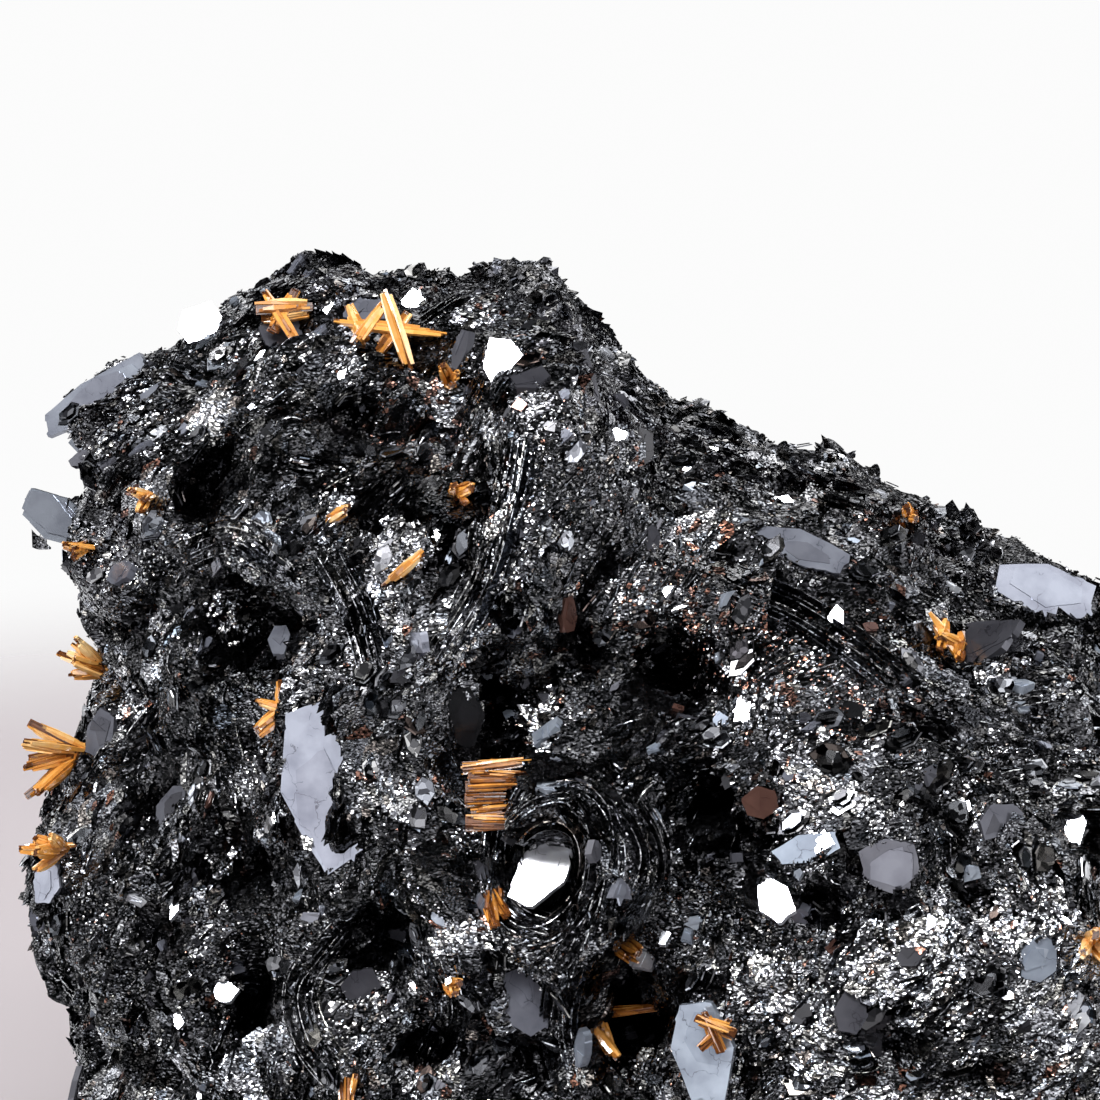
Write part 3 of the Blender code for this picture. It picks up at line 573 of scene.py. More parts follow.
def facets(graph, coords, cell_mm, tilt, stretch):
    """Tiny mirror facets, each leaning its own way: (normal, a colour at random for each facet)."""
    mapping = graph.add("Mapping", Scale=stretch, Rotation=FACET_TURN)
    graph.links.new(coords, mapping.inputs["Vector"])
    cells = graph.add("TexVoronoi", Scale=1 / (cell_mm * MM))
    place = graph.wandering(coords, mapping.outputs["Vector"], 260.0, 2.0, 0.002)
    graph.links.new(place, cells.inputs["Vector"])
    chance = cells.outputs["Color"]
    leaned = graph.add("VectorMath", operation="SCALE", Scale=tilt)
    graph.links.new(graph.vector("SUBTRACT", chance, (0.5, 0.5, 0.5)), leaned.inputs[0])
    face = graph.add("NewGeometry").outputs["Normal"]
    normal = graph.vector("NORMALIZE", graph.vector("ADD", face, leaned.outputs[0]))
    return normal, chance


def hematite_material(name, cell_mm, tilt, stretch):
    """Steely black hematite: tiny mirror facets, a few of them bluish or coppery."""
    material, graph, shader = new_material(name)
    normal, chance = facets(graph, graph.coords(), cell_mm, tilt, stretch)
    tinted = graph.multiplied(graph.face_ramp("tone", HEMATITE_SHADES), graph.face_ramp("tint", TINTS))
    colour = graph.multiplied(tinted, graph.ramp(chance, FACET_SHADES))
    rough = graph.add("MapRange", To_Min=FACET_ROUGHNESS[0], To_Max=FACET_ROUGHNESS[1])
    graph.links.new(chance, rough.inputs["Value"])
    graph.links.new(colour, shader.inputs["Base Color"])
    graph.links.new(rough.outputs["Result"], shader.inputs["Roughness"])
    graph.links.new(normal, shader.inputs["Normal"])
    shader.inputs["Metallic"].default_value = 1.0
    return material


def plate_material():
    """A flat mirror face of a tabular crystal, with cracks and faint tarnish."""
    material, graph, shader = new_material("hematite_plates")
    coords = graph.coords()
    cracks = graph.add("TexVoronoi", feature="DISTANCE_TO_EDGE", Scale=430.0)
    graph.links.new(graph.wandering(coords, coords, 900.0, 3.0, 0.0016), cracks.inputs["Vector"])
    patches = graph.noise(coords, 420.0, 4.0)["Fac"]
    whole = graph.math("MULTIPLY", graph.math("SUBTRACT", patches, 0.47), 0.4)
    gap = graph.math("ADD", cracks.outputs["Distance"], graph.math("MAXIMUM", whole, 0.0))
    worn = graph.multiplied(graph.ramp(gap, CRACK_SHADES), graph.ramp(patches, WEAR_SHADES))
    tinted = graph.multiplied(graph.face_ramp("tone", PLATE_SHADES), graph.face_ramp("tint", TINTS))
    graph.links.new(graph.multiplied(tinted, worn), shader.inputs["Base Color"])
    shader.inputs["Metallic"].default_value = 0.55
    shader.inputs["Roughness"].default_value = 0.16
    graph.bump(patches, 0.12, 0.012 * MM, shader)
    return material


def rutile_material():
    """Golden to amber rutile needles, glassy, darker where each face's tone holds painted shade: near the
    hematite, in the fine sprays and in the core.
    """
    material, graph, shader = new_material("rutile_needles")
    coords = graph.coords()
    tone = graph.add("Attribute", attribute_name="tone").outputs["Fac"]
    mostly = graph.math("MULTIPLY", tone, 0.75)
    partly = graph.math("MULTIPLY", graph.noise(coords, 900.0, 3.0)["Fac"], 0.35)
    colour = graph.ramp(graph.math("ADD", mostly, partly), RUTILE_SHADES)
    graph.links.new(colour, shader.inputs["Base Color"])
    shader.inputs["Roughness"].default_value = 0.18
    shader.inputs["IOR"].default_value = 2.2
    graph.bump(graph.noise(coords, 3000.0, 1.0)["Fac"], 0.15, 0.01 * MM, shader)
    return material


# Places on the specimen.


def smooth(t):
    """0 below 0 and 1 above 1, with a smooth step between them."""
    t = np.clip(t, 0.0, 1.0)
    return t * t * (3 - 2 * t)


def sight_place(points):
    """Where the photograph's line of sight through each point passes the plane y = 0, as (x, z) in mm."""
    share = -CAMERA_POINT[1] / (points[:, 1] - CAMERA_POINT[1])
    seen = CAMERA_POINT + (points - CAMERA_POINT) * share[:, None]
    return seen[:, (0, 2)] / MM


def seen_side(points, normals):
    """1 for points of the side that the photograph shows, 0 for the others."""
    towards = unit(CAMERA_POINT - points)
    return smooth(np.sum(towards * normals, axis=1) * 3.0 + 0.4)


def turned_away(points, normals):
    """1 for points that face well away from the photograph's side."""
    return (np.sum(unit(CAMERA_POINT - points) * normals, axis=1) < -0.25).astype(float)


def glint_normals(points):
    """The way that a face at each point lies to mirror the key light into the camera."""
    return unit(unit(CAMERA_POINT - points) + unit(KEY_POINT - points))


def patch_strength(points, normals, patches):
    """How strongly each point lies in patches given as capsules of the plane y = 0."""
    seen = sight_place(points)
    strength = np.zeros(len(points))
    for x0, z0, x1, z1, radius, amount in patches:
        start, along = np.array((x0, z0)), np.array((x1 - x0, z1 - z0))
        t = np.clip((seen - start) @ along / max(along @ along, 1e-9), 0.0, 1.0)
        away = np.linalg.norm(seen - start - t[:, None] * along, axis=1)
        strength = np.maximum(strength, amount * smooth(1.5 - away / radius))
    return strength * seen_side(points, normals)


def silver_strength(points, normals):
    """The bright patches, where scales turn to mirror the light and their colour is lifted as painted
    highlight: those of the photograph, and chance ones on the other sides.
    """
    speckle = np.array([noise.noise(Vector(p) / (2.6 * MM)) for p in points])
    front = patch_strength(points, normals, SILVER_PATCHES) * smooth(0.8 + speckle * 1.8)
    glints = np.array([noise.noise(Vector(p) / (GLINT_SPAN * MM) + GLINT_PLACE) for p in points])
    front = np.maximum(front, 0.5 * smooth((glints - 0.14) * 4.0) * seen_side(points, normals))
    chance = np.array([noise.noise(Vector(p) / (HIDDEN_SILVER_SPAN * MM)) for p in points])
    hidden = smooth((chance - 0.05) * 3.0) * (1.0 - seen_side(points, normals))
    return np.maximum(front, hidden * 0.7)


def eye_reach(points):
    """How far out in the eye-shaped hollow each point lies (1 at its rim), and the way round it there."""
    offset = sight_place(points) - np.array(EYE_HOLLOW)
    long = np.array((math.cos(EYE_ROLL), math.sin(EYE_ROLL)))
    wide = np.array((-long[1], long[0]))
    u, v = offset @ long / EYE_HALF_LENGTH, offset @ wide / EYE_HALF_WIDTH
    reach = np.hypot(u, v)
    turn = long * (-v * EYE_HALF_LENGTH)[:, None] + wide * (u * EYE_HALF_WIDTH)[:, None]
    return reach, unit(np.stack([turn[:, 0], np.zeros(len(points)), turn[:, 1]], axis=1))


def sight_hit(tree, x, z):
    """The first surface point on the photograph's line of sight through (x, 0, z), and the normal there."""
    way = Vector((x, 0.0, z)) * MM - CAMERA
    hit, normal, _, _ = tree.ray_cast(CAMERA, way.normalized())
    if hit is None:
        hit, normal, _, _ = tree.find_nearest(Vector((x, 0.0, z)) * MM)
    return hit, normal


def hollow_list(tree, mesh):
    """All hollows: those seen, and chance ones on the other sides."""
    hollows = []
    for x, z, radius, depth in HOLLOWS:
        hit, _ = sight_hit(tree, x, z)
        hollows.append(Hollow(np.array(hit), np.array((hit - CAMERA).normalized()), radius * MM, depth * MM))
    rng = seeded("hollows")
    points, normals = sample_surface(mesh, HIDDEN_HOLLOWS, rng, lambda c, n: 1.0 - seen_side(c, n))
    for point, normal in zip(points, normals):
        if point[2] > 8 * MM:
            radius, depth = rng.uniform(1.8, 4.0) * MM, rng.uniform(1.6, 3.2) * MM
            hollows.append(Hollow(point, -normal, radius, depth))
    return hollows


def hollow_depth(points, hollows):
    """How deep in a hollow each point lies, from 0 to 1: how much painted shade darkens the colour there."""
    depth = np.zeros(len(points))
    for hollow in hollows:
        away = np.linalg.norm(points - hollow.centre, axis=1) / hollow.radius
        depth = np.maximum(depth, smooth(1.35 - away))
    return depth


def plate_list(tree, mesh):
    """All larger mirror plates."""
    plates = []
    for x, z, long, wide, roll, look in PLATES:
        hit, normal = sight_hit(tree, x, z)
        lift = LOOKS[look].lift
        if lift:
            normal = Vector(glint_normals(np.array([hit]))[0])
            hit = hit + normal * long * lift * MM
        plates.append(placed_plate(hit, normal, roll, long, wide, look))
    for x, y, z, long, wide, turn, tilt, roll, look in BLADE_PLATES:
        turn, tilt = math.radians(turn), math.radians(tilt)
        level = math.cos(tilt)
        normal = Vector((math.sin(turn) * level, -math.cos(turn) * level, math.sin(tilt)))
        plates.append(placed_plate(Vector((x, y, z)) * MM, normal, roll, long, wide, look))
    return plates + hidden_plates(mesh)


def hidden_plates(mesh):
    """Larger plates at chance places of the other sides."""
    rng = seeded("hidden_plates")
    points, normals = sample_surface(mesh, HIDDEN_PLATES, rng, turned_away)
    plates = []
    for point, normal in zip(points, normals):
        long = rng.uniform(*HIDDEN_PLATE_SIZES)
        wide = long * rng.uniform(0.4, 0.7)
        roll = rng.uniform(0, 180)
        look = str(rng.choice(HIDDEN_LOOKS))
        if point[2] > 6 * MM:
            raised = Vector(point + normal * 0.3 * MM)
            plates.append(placed_plate(raised, Vector(normal), roll, long, wide, look))
    return plates


def placed_plate(point, normal, roll, long, wide, look):
    """One mirror plate from its place, the way it faces and its roll in degrees."""
    turn = math.radians(roll)
    along = Vector((math.cos(turn), 0.0, math.sin(turn)))
    along = (along - normal * along.dot(normal)).normalized()
    return Plate(np.array(point), np.array(normal), np.array(along), long * MM, wide * MM, look)


def plate_place(points, plate):
    """Where points lie on a plate: how far out (1 at its edge), and how far above it."""
    offset = points - plate.centre
    u = offset @ plate.along / plate.long
    v = offset @ np.cross(plate.normal, plate.along) / plate.wide
    return np.hypot(u, v), offset @ plate.normal


def within_plates(points, plates, margin, height):
    """Which points lie on a plate, by how far its edge is scaled, within a height of it."""
    inside = np.zeros(len(points), dtype=bool)
    for plate in plates:
        out, above = plate_place(points, plate)
        inside |= (out < margin) & (np.abs(above) < height)
    return inside


# The crust.


def sample_surface(mesh, count, rng, weight=None):
    """Points spread over a mesh by area, and the surface's normals there."""
    mesh.calc_loop_triangles()
    co = mesh_points(mesh)
    tris = np.empty(len(mesh.loop_triangles) * 3, dtype=np.int32)
    mesh.loop_triangles.foreach_get("vertices", tris)
    tris = tris.reshape(-1, 3)
    a, b, c = co[tris[:, 0]], co[tris[:, 1]], co[tris[:, 2]]
    cross = np.cross(b - a, c - a)
    area = np.linalg.norm(cross, axis=1)
    share = area * (weight((a + b + c) / 3, unit(cross)) if weight else 1.0)
    chosen = rng.choice(len(tris), size=count, p=share / share.sum())
    r1, r2 = np.sqrt(rng.random((count, 1))), rng.random((count, 1))
    points = a[chosen] * (1 - r1) + b[chosen] * r1 * (1 - r2) + c[chosen] * r1 * r2
    return points, unit(cross[chosen])


def mesh_points(mesh):
    co = np.empty(len(mesh.vertices) * 3, dtype=np.float32)
    mesh.vertices.foreach_get("co", co)
    return co.reshape(-1, 3).astype(np.float64)


def vertex_normals(mesh):
    out = np.empty(len(mesh.vertices) * 3, dtype=np.float32)
    mesh.vertex_normals.foreach_get("vector", out)
    return out.reshape(-1, 3).astype(np.float64)


def remeshed(mesh, name, voxel):
    """The mesh as one fine even skin."""
    obj = linked(name, mesh)
    skin = obj.modifiers.new("Skin", "REMESH")
    skin.mode = "VOXEL"
    skin.voxel_size = voxel
    graph = bpy.context.evaluated_depsgraph_get()
    result = bpy.data.meshes.new_from_object(obj.evaluated_get(graph))
    bpy.data.objects.remove(obj)
    return result


def rutile_nodes():
    """The rutile sprays' solids, as (name, node)."""
    return [item for item in sorted(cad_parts.items()) if item[0].startswith("rutile_")]


def spray_clearance(points):
    """0 close to the rutile, so that its roots stay covered, and 1 away from it."""
    tree = point_tree([vertex.co for _, node in rutile_nodes() for vertex in node.data.vertices])
    near = np.array([tree.find(Vector(p))[2] for p in points])
    return smooth((near - 0.7 * MM) / (1.6 * MM))


def shape_mass(hollows, plates):
    """The CAD mass with its hollows sunk in, and flat where the mirror plates lie."""
    mesh = remeshed(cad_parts["hematite_matrix"].data.copy(), "hematite_mass", 0.8 * MM)
    co = mesh_points(mesh)
    normals = vertex_normals(mesh)
    clear = spray_clearance(co)
    reach, _ = eye_reach(co)
    sight = unit(co - CAMERA_POINT)
    moat = smooth(1.0 - np.abs(reach - 0.74) / 0.34) * seen_side(co, normals)
    moved = co + sight * (moat * clear * EYE_MOAT_DEPTH * MM)[:, None]
    for hollow in hollows:
        away = np.linalg.norm(co - hollow.centre, axis=1) / hollow.radius
        moved += hollow.way * (smooth(1.25 - away) * clear * hollow.depth)[:, None]
    for plate in plates:
        out, above = plate_place(moved, plate)
        held = smooth((1.45 - out) / 0.4) * (np.abs(above) < 3.0 * MM)
        moved -= plate.normal * ((above + 0.1 * MM) * held)[:, None]
    moved[:, 2] = np.where(co[:, 2] < 1.0 * MM, co[:, 2], np.maximum(moved[:, 2], 0.3 * MM))
    mesh.vertices.foreach_set("co", moved.astype(np.float32).ravel())
    mesh.update()
    return remeshed(mesh, "hematite_mass", SKIN_VOXEL)


def flow_field(points):
    """The smooth flow of the crust's grain, which runs round the eye-shaped hollow."""
    drift = np.array((0.35, 0.1, 0.5))
    flow = np.array([noise.noise_vector(Vector(p) / (16.0 * MM)) for p in points]) + drift
    reach, turn = eye_reach(points)
    share = (np.exp(-(((reach - 1.05) / 0.6) ** 2)) * (points[:, 1] < 5 * MM))[:, None]
    return unit(flow) * (1 - share) + turn * share


def crust_domains(mesh):
    """Seeds over the surface, each with its plane, the grain on it and how its crystals grow."""
    rng = seeded("domains")
    points, normals = sample_surface(mesh, DOMAINS, rng)
    lean = unit(rng.normal(size=points.shape)) * rng.uniform(0.2, 1.0, (len(points), 1)) * DOMAIN_LEAN
    silver = silver_strength(points, normals)[:, None]
    planes = unit(normals + lean * (1 - 0.5 * silver))
    planes = unit(planes * (1 - silver) + glint_normals(points) * silver)
    flow = unit(flow_field(points))
    grain = unit(flow - normals * np.sum(flow * normals, axis=1, keepdims=True))
    kinds = rng.choice(len(DOMAIN_KINDS), size=DOMAINS, p=DOMAIN_KINDS)
    kinds = np.where(silver[:, 0] > 0.35, FINE, kinds)
    return Domains(points, planes, grain, kinds)


def point_tree(points):
    """A tree that finds the nearest of the points."""
    tree = kdtree.KDTree(len(points))
    for i, point in enumerate(points):
        tree.insert(point, i)
    tree.balance()
    return tree


def nearest_domains(tree, points, wobble):
    """The domain that each point lies in; the wobble roughens the borders."""
    found = []
    for point in points:
        shift = noise.noise_vector(Vector(point) / (1.3 * MM)) * wobble
        found.append(tree.find(Vector(point) + shift)[1])
    return np.array(found)


def step_skin(mesh, domains, tree, plates):
    """Moves the skin's points onto the faces of their domains, in steps."""
    co = mesh_points(mesh)
    index = nearest_domains(tree, co, 0.7 * MM)
    along = np.sum((domains.seeds[index] - co) * domains.planes[index], axis=1)
    bare = domains.kinds[index] == BARE
    step = np.clip(along * np.where(bare, 1.0, DOMAIN_FLATTEN), -DOMAIN_STEP, DOMAIN_STEP)
    step[within_plates(co, plates, 1.0, 1.0 * MM)] = -0.1 * MM
    moved = co + domains.planes[index] * step[:, None]
    keep = co[:, 2] < 0.6 * MM  # the cut base stays flat
    moved[keep, 2] = co[keep, 2]
    moved[:, 2] = np.maximum(moved[:, 2], 0.0)
    mesh.vertices.foreach_set("co", moved.astype(np.float32).ravel())


def make_skin(mesh, domains, tree, plates, hollows):
    """The crust: the mass as one fine skin, stepped into the faces of its domains."""
    step_skin(mesh, domains, tree, plates)
    centres = np.empty(len(mesh.polygons) * 3, dtype=np.float32)
    mesh.polygons.foreach_get("center", centres)
    centres = centres.reshape(-1, 3).astype(np.float64)
    # The crust's tone varies at random and is darkened in the hollows as painted shade.
    tones = 0.14 + 0.3 * seeded("skin").random(len(centres)) - 0.3 * hollow_depth(centres, hollows)
    face_values(mesh, "tone", np.clip(tones, 0, 1))
    face_values(mesh, "tint", np.full(len(centres), 0.5))
    mesh.shade_flat()
    mesh.materials.clear()
    mesh.materials.append(hematite_material("hematite_crust", 0.22, 0.36, (1.0, 1.0, 2.2)))
    mesh.update()
    crust = linked("hematite_crust", mesh)
    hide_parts("hematite_matrix")
    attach(crust, "root")
    return crust


def scale_weight(centres, normals):
    """Scales lie closer together where the photograph looks."""
    towards = unit(CAMERA_POINT - centres)
    facing = np.sum(towards * normals, axis=1)
    return np.where(facing > 0.0, 1.0 + 2.2 * np.clip(facing, 0, 1), 0.5) * (centres[:, 2] > 1.2 * MM)


def hematite_piece(gathered, name, material):
    piece = gathered.piece(name, material)
    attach(piece, "root")
    return piece


def scale_tints(points, normals, rng):
    """Mostly neutral scales, some bluish or yellowish, and coppery ones in their patches."""
    tints = np.clip(rng.normal(0.5, 0.13, len(points)), 0.0, 0.75)
    copper = 0.03 + 0.35 * patch_strength(points, normals, COPPER_PATCHES)
    return np.where(rng.random(len(points)) < copper, rng.uniform(0.85, 1.0, len(points)), tints)


def scale_places(skin, domains, tree, plates, rng):
    """Where the scales grow, from left to right: (points, normals, number of the domain)."""
    total = int(SCALES_PER_PIECE * len(SCALE_PIECES) * (1.0))
    points, normals = sample_surface(skin.data, total, rng, scale_weight)
    clear = ~within_plates(points, plates, 0.93, 1.3 * MM)
    points, normals = points[clear], normals[clear]
    order = np.argsort(points[:, 0])
    points, normals = points[order], normals[order]
    index = nearest_domains(tree, points, 0.9 * MM)
    covered = rng.random(len(points)) < KIND_COVER[domains.kinds[index]]
    return points[covered], normals[covered], index[covered]


def scale_directions(points, normals, domains, index, silver, rng):
    """The way each scale faces, and the way its long side runs."""
    loose = KIND_LOOSENESS[domains.kinds[index]] * (1 - 0.3 * silver)
    lie = unit(domains.planes[index] + 0.2 * normals)
    lie = unit(lie * (1 - silver * 0.9)[:, None] + glint_normals(points) * (silver * 0.9)[:, None])
    lie = unit(lie + loose[:, None] * rng.normal(size=points.shape))
    long = unit(domains.grain[index] + 0.25 * rng.normal(size=points.shape))
    return lie, long


def scale_sizes(points, normals, domains, index, rng):
    """Half the length of each scale, which differs by domain and is coarse in some silver patches."""
    domain_size = seeded("domain_size").lognormal(0.0, 0.4, len(domains.seeds))[index]
    kind_size = KIND_SIZE[domains.kinds[index]]
    size = rng.lognormal(math.log(SCALE_SIZE), 0.4, len(points)) * domain_size * kind_size * MM
    coarse = patch_strength(points, normals, SILVER_PATCHES[COARSE_PATCHES])
    return np.clip(size * (1 + 0.9 * coarse), LEAST_SCALE * MM, LARGEST_SCALE * MM)


def add_scales(skin, domains, tree, plates, hollows):
    """Wedge-shaped overlapping scales of hematite, which lie the way of their domain."""
    rng = seeded("scales")
    points, normals, index = scale_places(skin, domains, tree, plates, rng)
    total = len(points)
    silver = silver_strength(points, normals)
    deep = hollow_depth(points, hollows)
    lie, long = scale_directions(points, normals, domains, index, silver, rng)
    size = scale_sizes(points, normals, domains, index, rng)
    wide = size * rng.uniform(0.4, 0.85, total)
    depth = size * rng.uniform(0.35, 0.7, total)
    centres = points + normals * (rng.uniform(0.0, 0.26, total) * MM)[:, None]
    domain_tone = seeded("domain_tone").random(len(domains.seeds))[index]
    # Tone varies at random by domain and scale; the silver patches lift it as painted highlight, and the
    # hollows darken it as painted shade.
    tone = 0.1 + 0.42 * domain_tone + 0.32 * rng.random(total) + 0.2 * silver - 0.5 * deep
    tone = np.clip(tone, 0.0, 1.0)
    tint = scale_tints(points, normals, rng)
    material = hematite_material("hematite_scales", 0.17, 0.36, (1.0, 1.0, 1.8))
    sides = rng.choice(SCALE_SIDES, size=total, p=SIDE_SHARES)
    for place, some in zip(SCALE_PIECES, np.array_split(np.arange(total), len(SCALE_PIECES))):
        gathered = Gathered()
        for corners in SCALE_SIDES:
            mine = some[sides[some] == corners]
            shape = centres[mine], lie[mine], long[mine], size[mine], wide[mine], depth[mine]
            pts, faces = chips(*shape, corners, rng)
            # The scales' sides take a darker tone than their faces: painted shade.
            tones = [tone[mine], np.repeat(tone[mine] * 0.6, corners)]
            gathered.add(pts, faces, tones, [tint[mine], np.repeat(tint[mine], corners)])
        hematite_piece(gathered, "hematite_scales_" + place, material)


def add_books(skin, domains, tree, plates, hollows):
    """Books of parallel tablets, which stand out of the crust and lie the way of their domain."""
    rng = seeded("books")
    points, _ = sample_surface(skin.data, BOOKS, rng, scale_weight)
    points = points[~within_plates(points, plates, 1.25, 2.0 * MM)]
    index = nearest_domains(tree, points, 0.0)
    planes, grain = domains.planes[index], domains.grain[index]
    gathered = Gathered()
    leaves = rng.integers(2, BOOK_LEAVES, len(points))
    for level in range(BOOK_LEAVES):
        mine = np.flatnonzero(leaves >= level)
        count = len(mine)
        lie = unit(planes[mine] + 0.05 * rng.normal(size=(count, 3)))
        centres = points[mine] + lie * (LEAF_STEP * level) + rng.normal(size=(count, 3)) * 0.12 * MM
        size = rng.uniform(0.7, 1.7, count) * MM * (1 - 0.08 * level)
        wide = size * rng.uniform(0.4, 0.75, count)
        pts, faces = tablets(centres, lie, grain[mine], size, wide, LEAF_THICKNESS, 6, rng)
        # Darker in the hollows: painted shade.
        tone = np.clip(rng.uniform(0.25, 0.75, count) - 0.4 * hollow_depth(centres, hollows), 0, 1)
        tint = np.clip(rng.normal(0.45, 0.15, count), 0, 0.8)
        tones, tints = ([np.tile(value, 2), np.repeat(value, 6)] for value in (tone, tint))
        gathered.add(pts, faces, tones, tints)
    material = hematite_material("hematite_books", 0.5, 0.1, (1.0, 1.0, 1.0))
    hematite_piece(gathered, "hematite_books", material)


def blade_paths(tree, starts):
    """Paths that run with the grain over the surface: (paths, surface normals along them)."""
    here = starts
    paths, ups = [], []
    for _ in range(BLADE_STEPS):
        hits = [tree.find_nearest(Vector(p)) for p in here]
        spots = np.array([h[0] for h in hits])
        normals = np.array([h[1] for h in hits])
        paths.append(spots)
        ups.append(normals)
        here = spots + unit(flow_field(spots)) * BLADE_STEP
    return np.stack(paths, axis=1), np.stack(ups, axis=1)


def smooth_line(corners, count):
    """Points spaced along a smooth line through the corners."""
    corners = np.array(corners, dtype=float)
    padded = np.concatenate([2 * corners[:1] - corners[1:2], corners, 2 * corners[-1:] - corners[-2:-1]])
    spots = np.linspace(0, len(corners) - 1.001, count)
    start = spots.astype(int)
    t = (spots - start)[:, None]
    a, b, c, d = (padded[start + k] for k in range(4))
    return 0.5 * (2 * b + (c - a) * t + (2 * a - 5 * b + 4 * c - d) * t**2 + (3 * b - a - 3 * c + d) * t**3)


def on_crust(tree, lines):
    """Lines of the plane y = 0 carried along the line of sight to the crust: (paths, normals)."""
    hits = [[sight_hit(tree, x, z) for x, z in line] for line in lines]
    paths = np.array([[h[0] for h in row] for row in hits])
    normals = np.array([[h[1] for h in row] for row in hits])
    for _ in range(2):
        paths[:, 1:-1] = (paths[:, :-2] + paths[:, 1:-1] * 2 + paths[:, 2:]) / 4
        normals[:, 1:-1] = unit(normals[:, :-2] + normals[:, 1:-1] + normals[:, 2:])
    return paths, normals


def band_lines():
    """The blades of the laminated bands, side by side."""
    lines = []
    for corners in BANDS:
        middle = smooth_line(corners, BAND_STEPS)
        ahead = unit(np.gradient(middle, axis=0))
        aside = np.stack([-ahead[:, 1], ahead[:, 0]], axis=1)
        for blade in range(BAND_BLADES):
            lines.append(middle + aside * (blade - BAND_BLADES / 2) * BAND_PITCH)
    return np.array(lines)


def ring_lines(rng):
    """The laminae that run round the eye-shaped hollow."""
    lines = []
    for reach in np.arange(0.66, 1.34, 0.062):
        start, span = rng.uniform(0, 2 * math.pi), rng.uniform(2.2, 5.0)
        turn = start + np.linspace(0, span, RING_STEPS)
        u, v = np.cos(turn) * EYE_HALF_LENGTH * reach, np.sin(turn) * EYE_HALF_WIDTH * reach
        x = EYE_HOLLOW[0] + u * math.cos(EYE_ROLL) - v * math.sin(EYE_ROLL)
        z = EYE_HOLLOW[1] + u * math.sin(EYE_ROLL) + v * math.cos(EYE_ROLL)
        lines.append(np.stack([x, z], axis=1))
    return np.array(lines)


def gather_blades(gathered, paths, ups, heights, thick, hollows, rng):
    points, faces, per_blade = swept_blades(paths, ups, heights, thick)
    count = len(paths)
    # Darker in the hollows: painted shade.
    tone = np.clip(rng.uniform(0.3, 0.9, count) - 0.5 * hollow_depth(paths[:, 3], hollows), 0, 1)
    tint = np.clip(rng.normal(0.48, 0.12, count), 0, 0.75)
    tones = [np.repeat(tone, per_blade), np.repeat(tone, 2)]
    gathered.add(points, faces, tones, [np.repeat(tint, per_blade), np.repeat(tint, 2)])


def add_blades(skin, plates, hollows):
    """Wavy thin blades that follow the grain, and the laminated bands and rings."""
    rng = seeded("blades")
    gathered = Gathered()
    tree = BVHTree.FromObject(skin, bpy.context.evaluated_depsgraph_get())
    for lines in (band_lines(), ring_lines(rng)):
        paths, normals = on_crust(tree, lines)
        count = len(paths)
        loose = 0.25 * rng.normal(size=(count, 1, 3))
        ups = unit(normals.mean(axis=1, keepdims=True) + 0.6 * normals + loose)
        heights = rng.uniform(0.35, 0.8, count) * MM
        gather_blades(gathered, paths, ups, heights, rng.uniform(0.14, 0.3, count) * MM, hollows, rng)
    starts, _ = sample_surface(skin.data, BLADES, rng, scale_weight)
    starts = starts[~within_plates(starts, plates, 1.4, 2.0 * MM)]
    paths, ups = blade_paths(tree, starts)
    count = len(paths)
    loose = 0.55 * rng.normal(size=(count, 1, 3))
    ups = unit(ups.mean(axis=1, keepdims=True) + 0.5 * ups + loose)
    heights = rng.uniform(0.25, 0.75, count) * MM
    gather_blades(gathered, paths, ups, heights, rng.uniform(0.08, 0.22, count) * MM, hollows, rng)
    material = hematite_material("hematite_blades", 0.3, 0.25, (1.0, 1.0, 1.6))
    hematite_piece(gathered, "hematite_blades", material)


# Mirror plates.


def broken_outline(small, rng):
    """A crystal's chipped outline, as (along, across) shares of its half sizes; small ones are shards."""
    count = int(rng.integers(3, 6)) if small else 6
    loose = 0.36 if small else 0.16
    turn = (np.arange(count) + 0.5 + rng.uniform(-loose, loose, count)) / count * 2 * math.pi
    reach = rng.uniform(0.8, 1.25, count) if small else rng.uniform(0.88, 1.16, count)
    corners = np.stack([np.cos(turn) * reach, np.sin(turn) * reach * 1.12], axis=1)
    outline = []
    for start, end in zip(corners, np.roll(corners, -1, axis=0)):
        breaks = rng.uniform(0.12, 0.9, int(rng.integers(1, 4 if small else 6)))
        for stop in np.sort(np.concatenate([[0.0], breaks])):
            chip = 1.0 if stop == 0.0 else 1.0 - rng.uniform(-0.06, 0.04)
            outline.append((start + (end - start) * stop) * chip)
    return np.array(outline)


def jagged_plate(centre, normal, along, long, wide, low, high, rng):
    """One closed plate with a broken outline: points and faces."""
    outline = broken_outline(long < SHARD_LENGTH, rng)
    corners = len(outline)
    across = np.cross(normal, along)
    ring = centre + along * (outline[:, :1] * long) + across * (outline[:, 1:] * wide)
    points = np.concatenate([ring + normal * high, ring + normal * low])
    order = np.arange(corners)
    after = (order + 1) % corners
    caps = np.stack([order, order[::-1] + corners])
    sides = np.stack([order, order + corners, after + corners, after], axis=1)
    return points, [caps, sides]


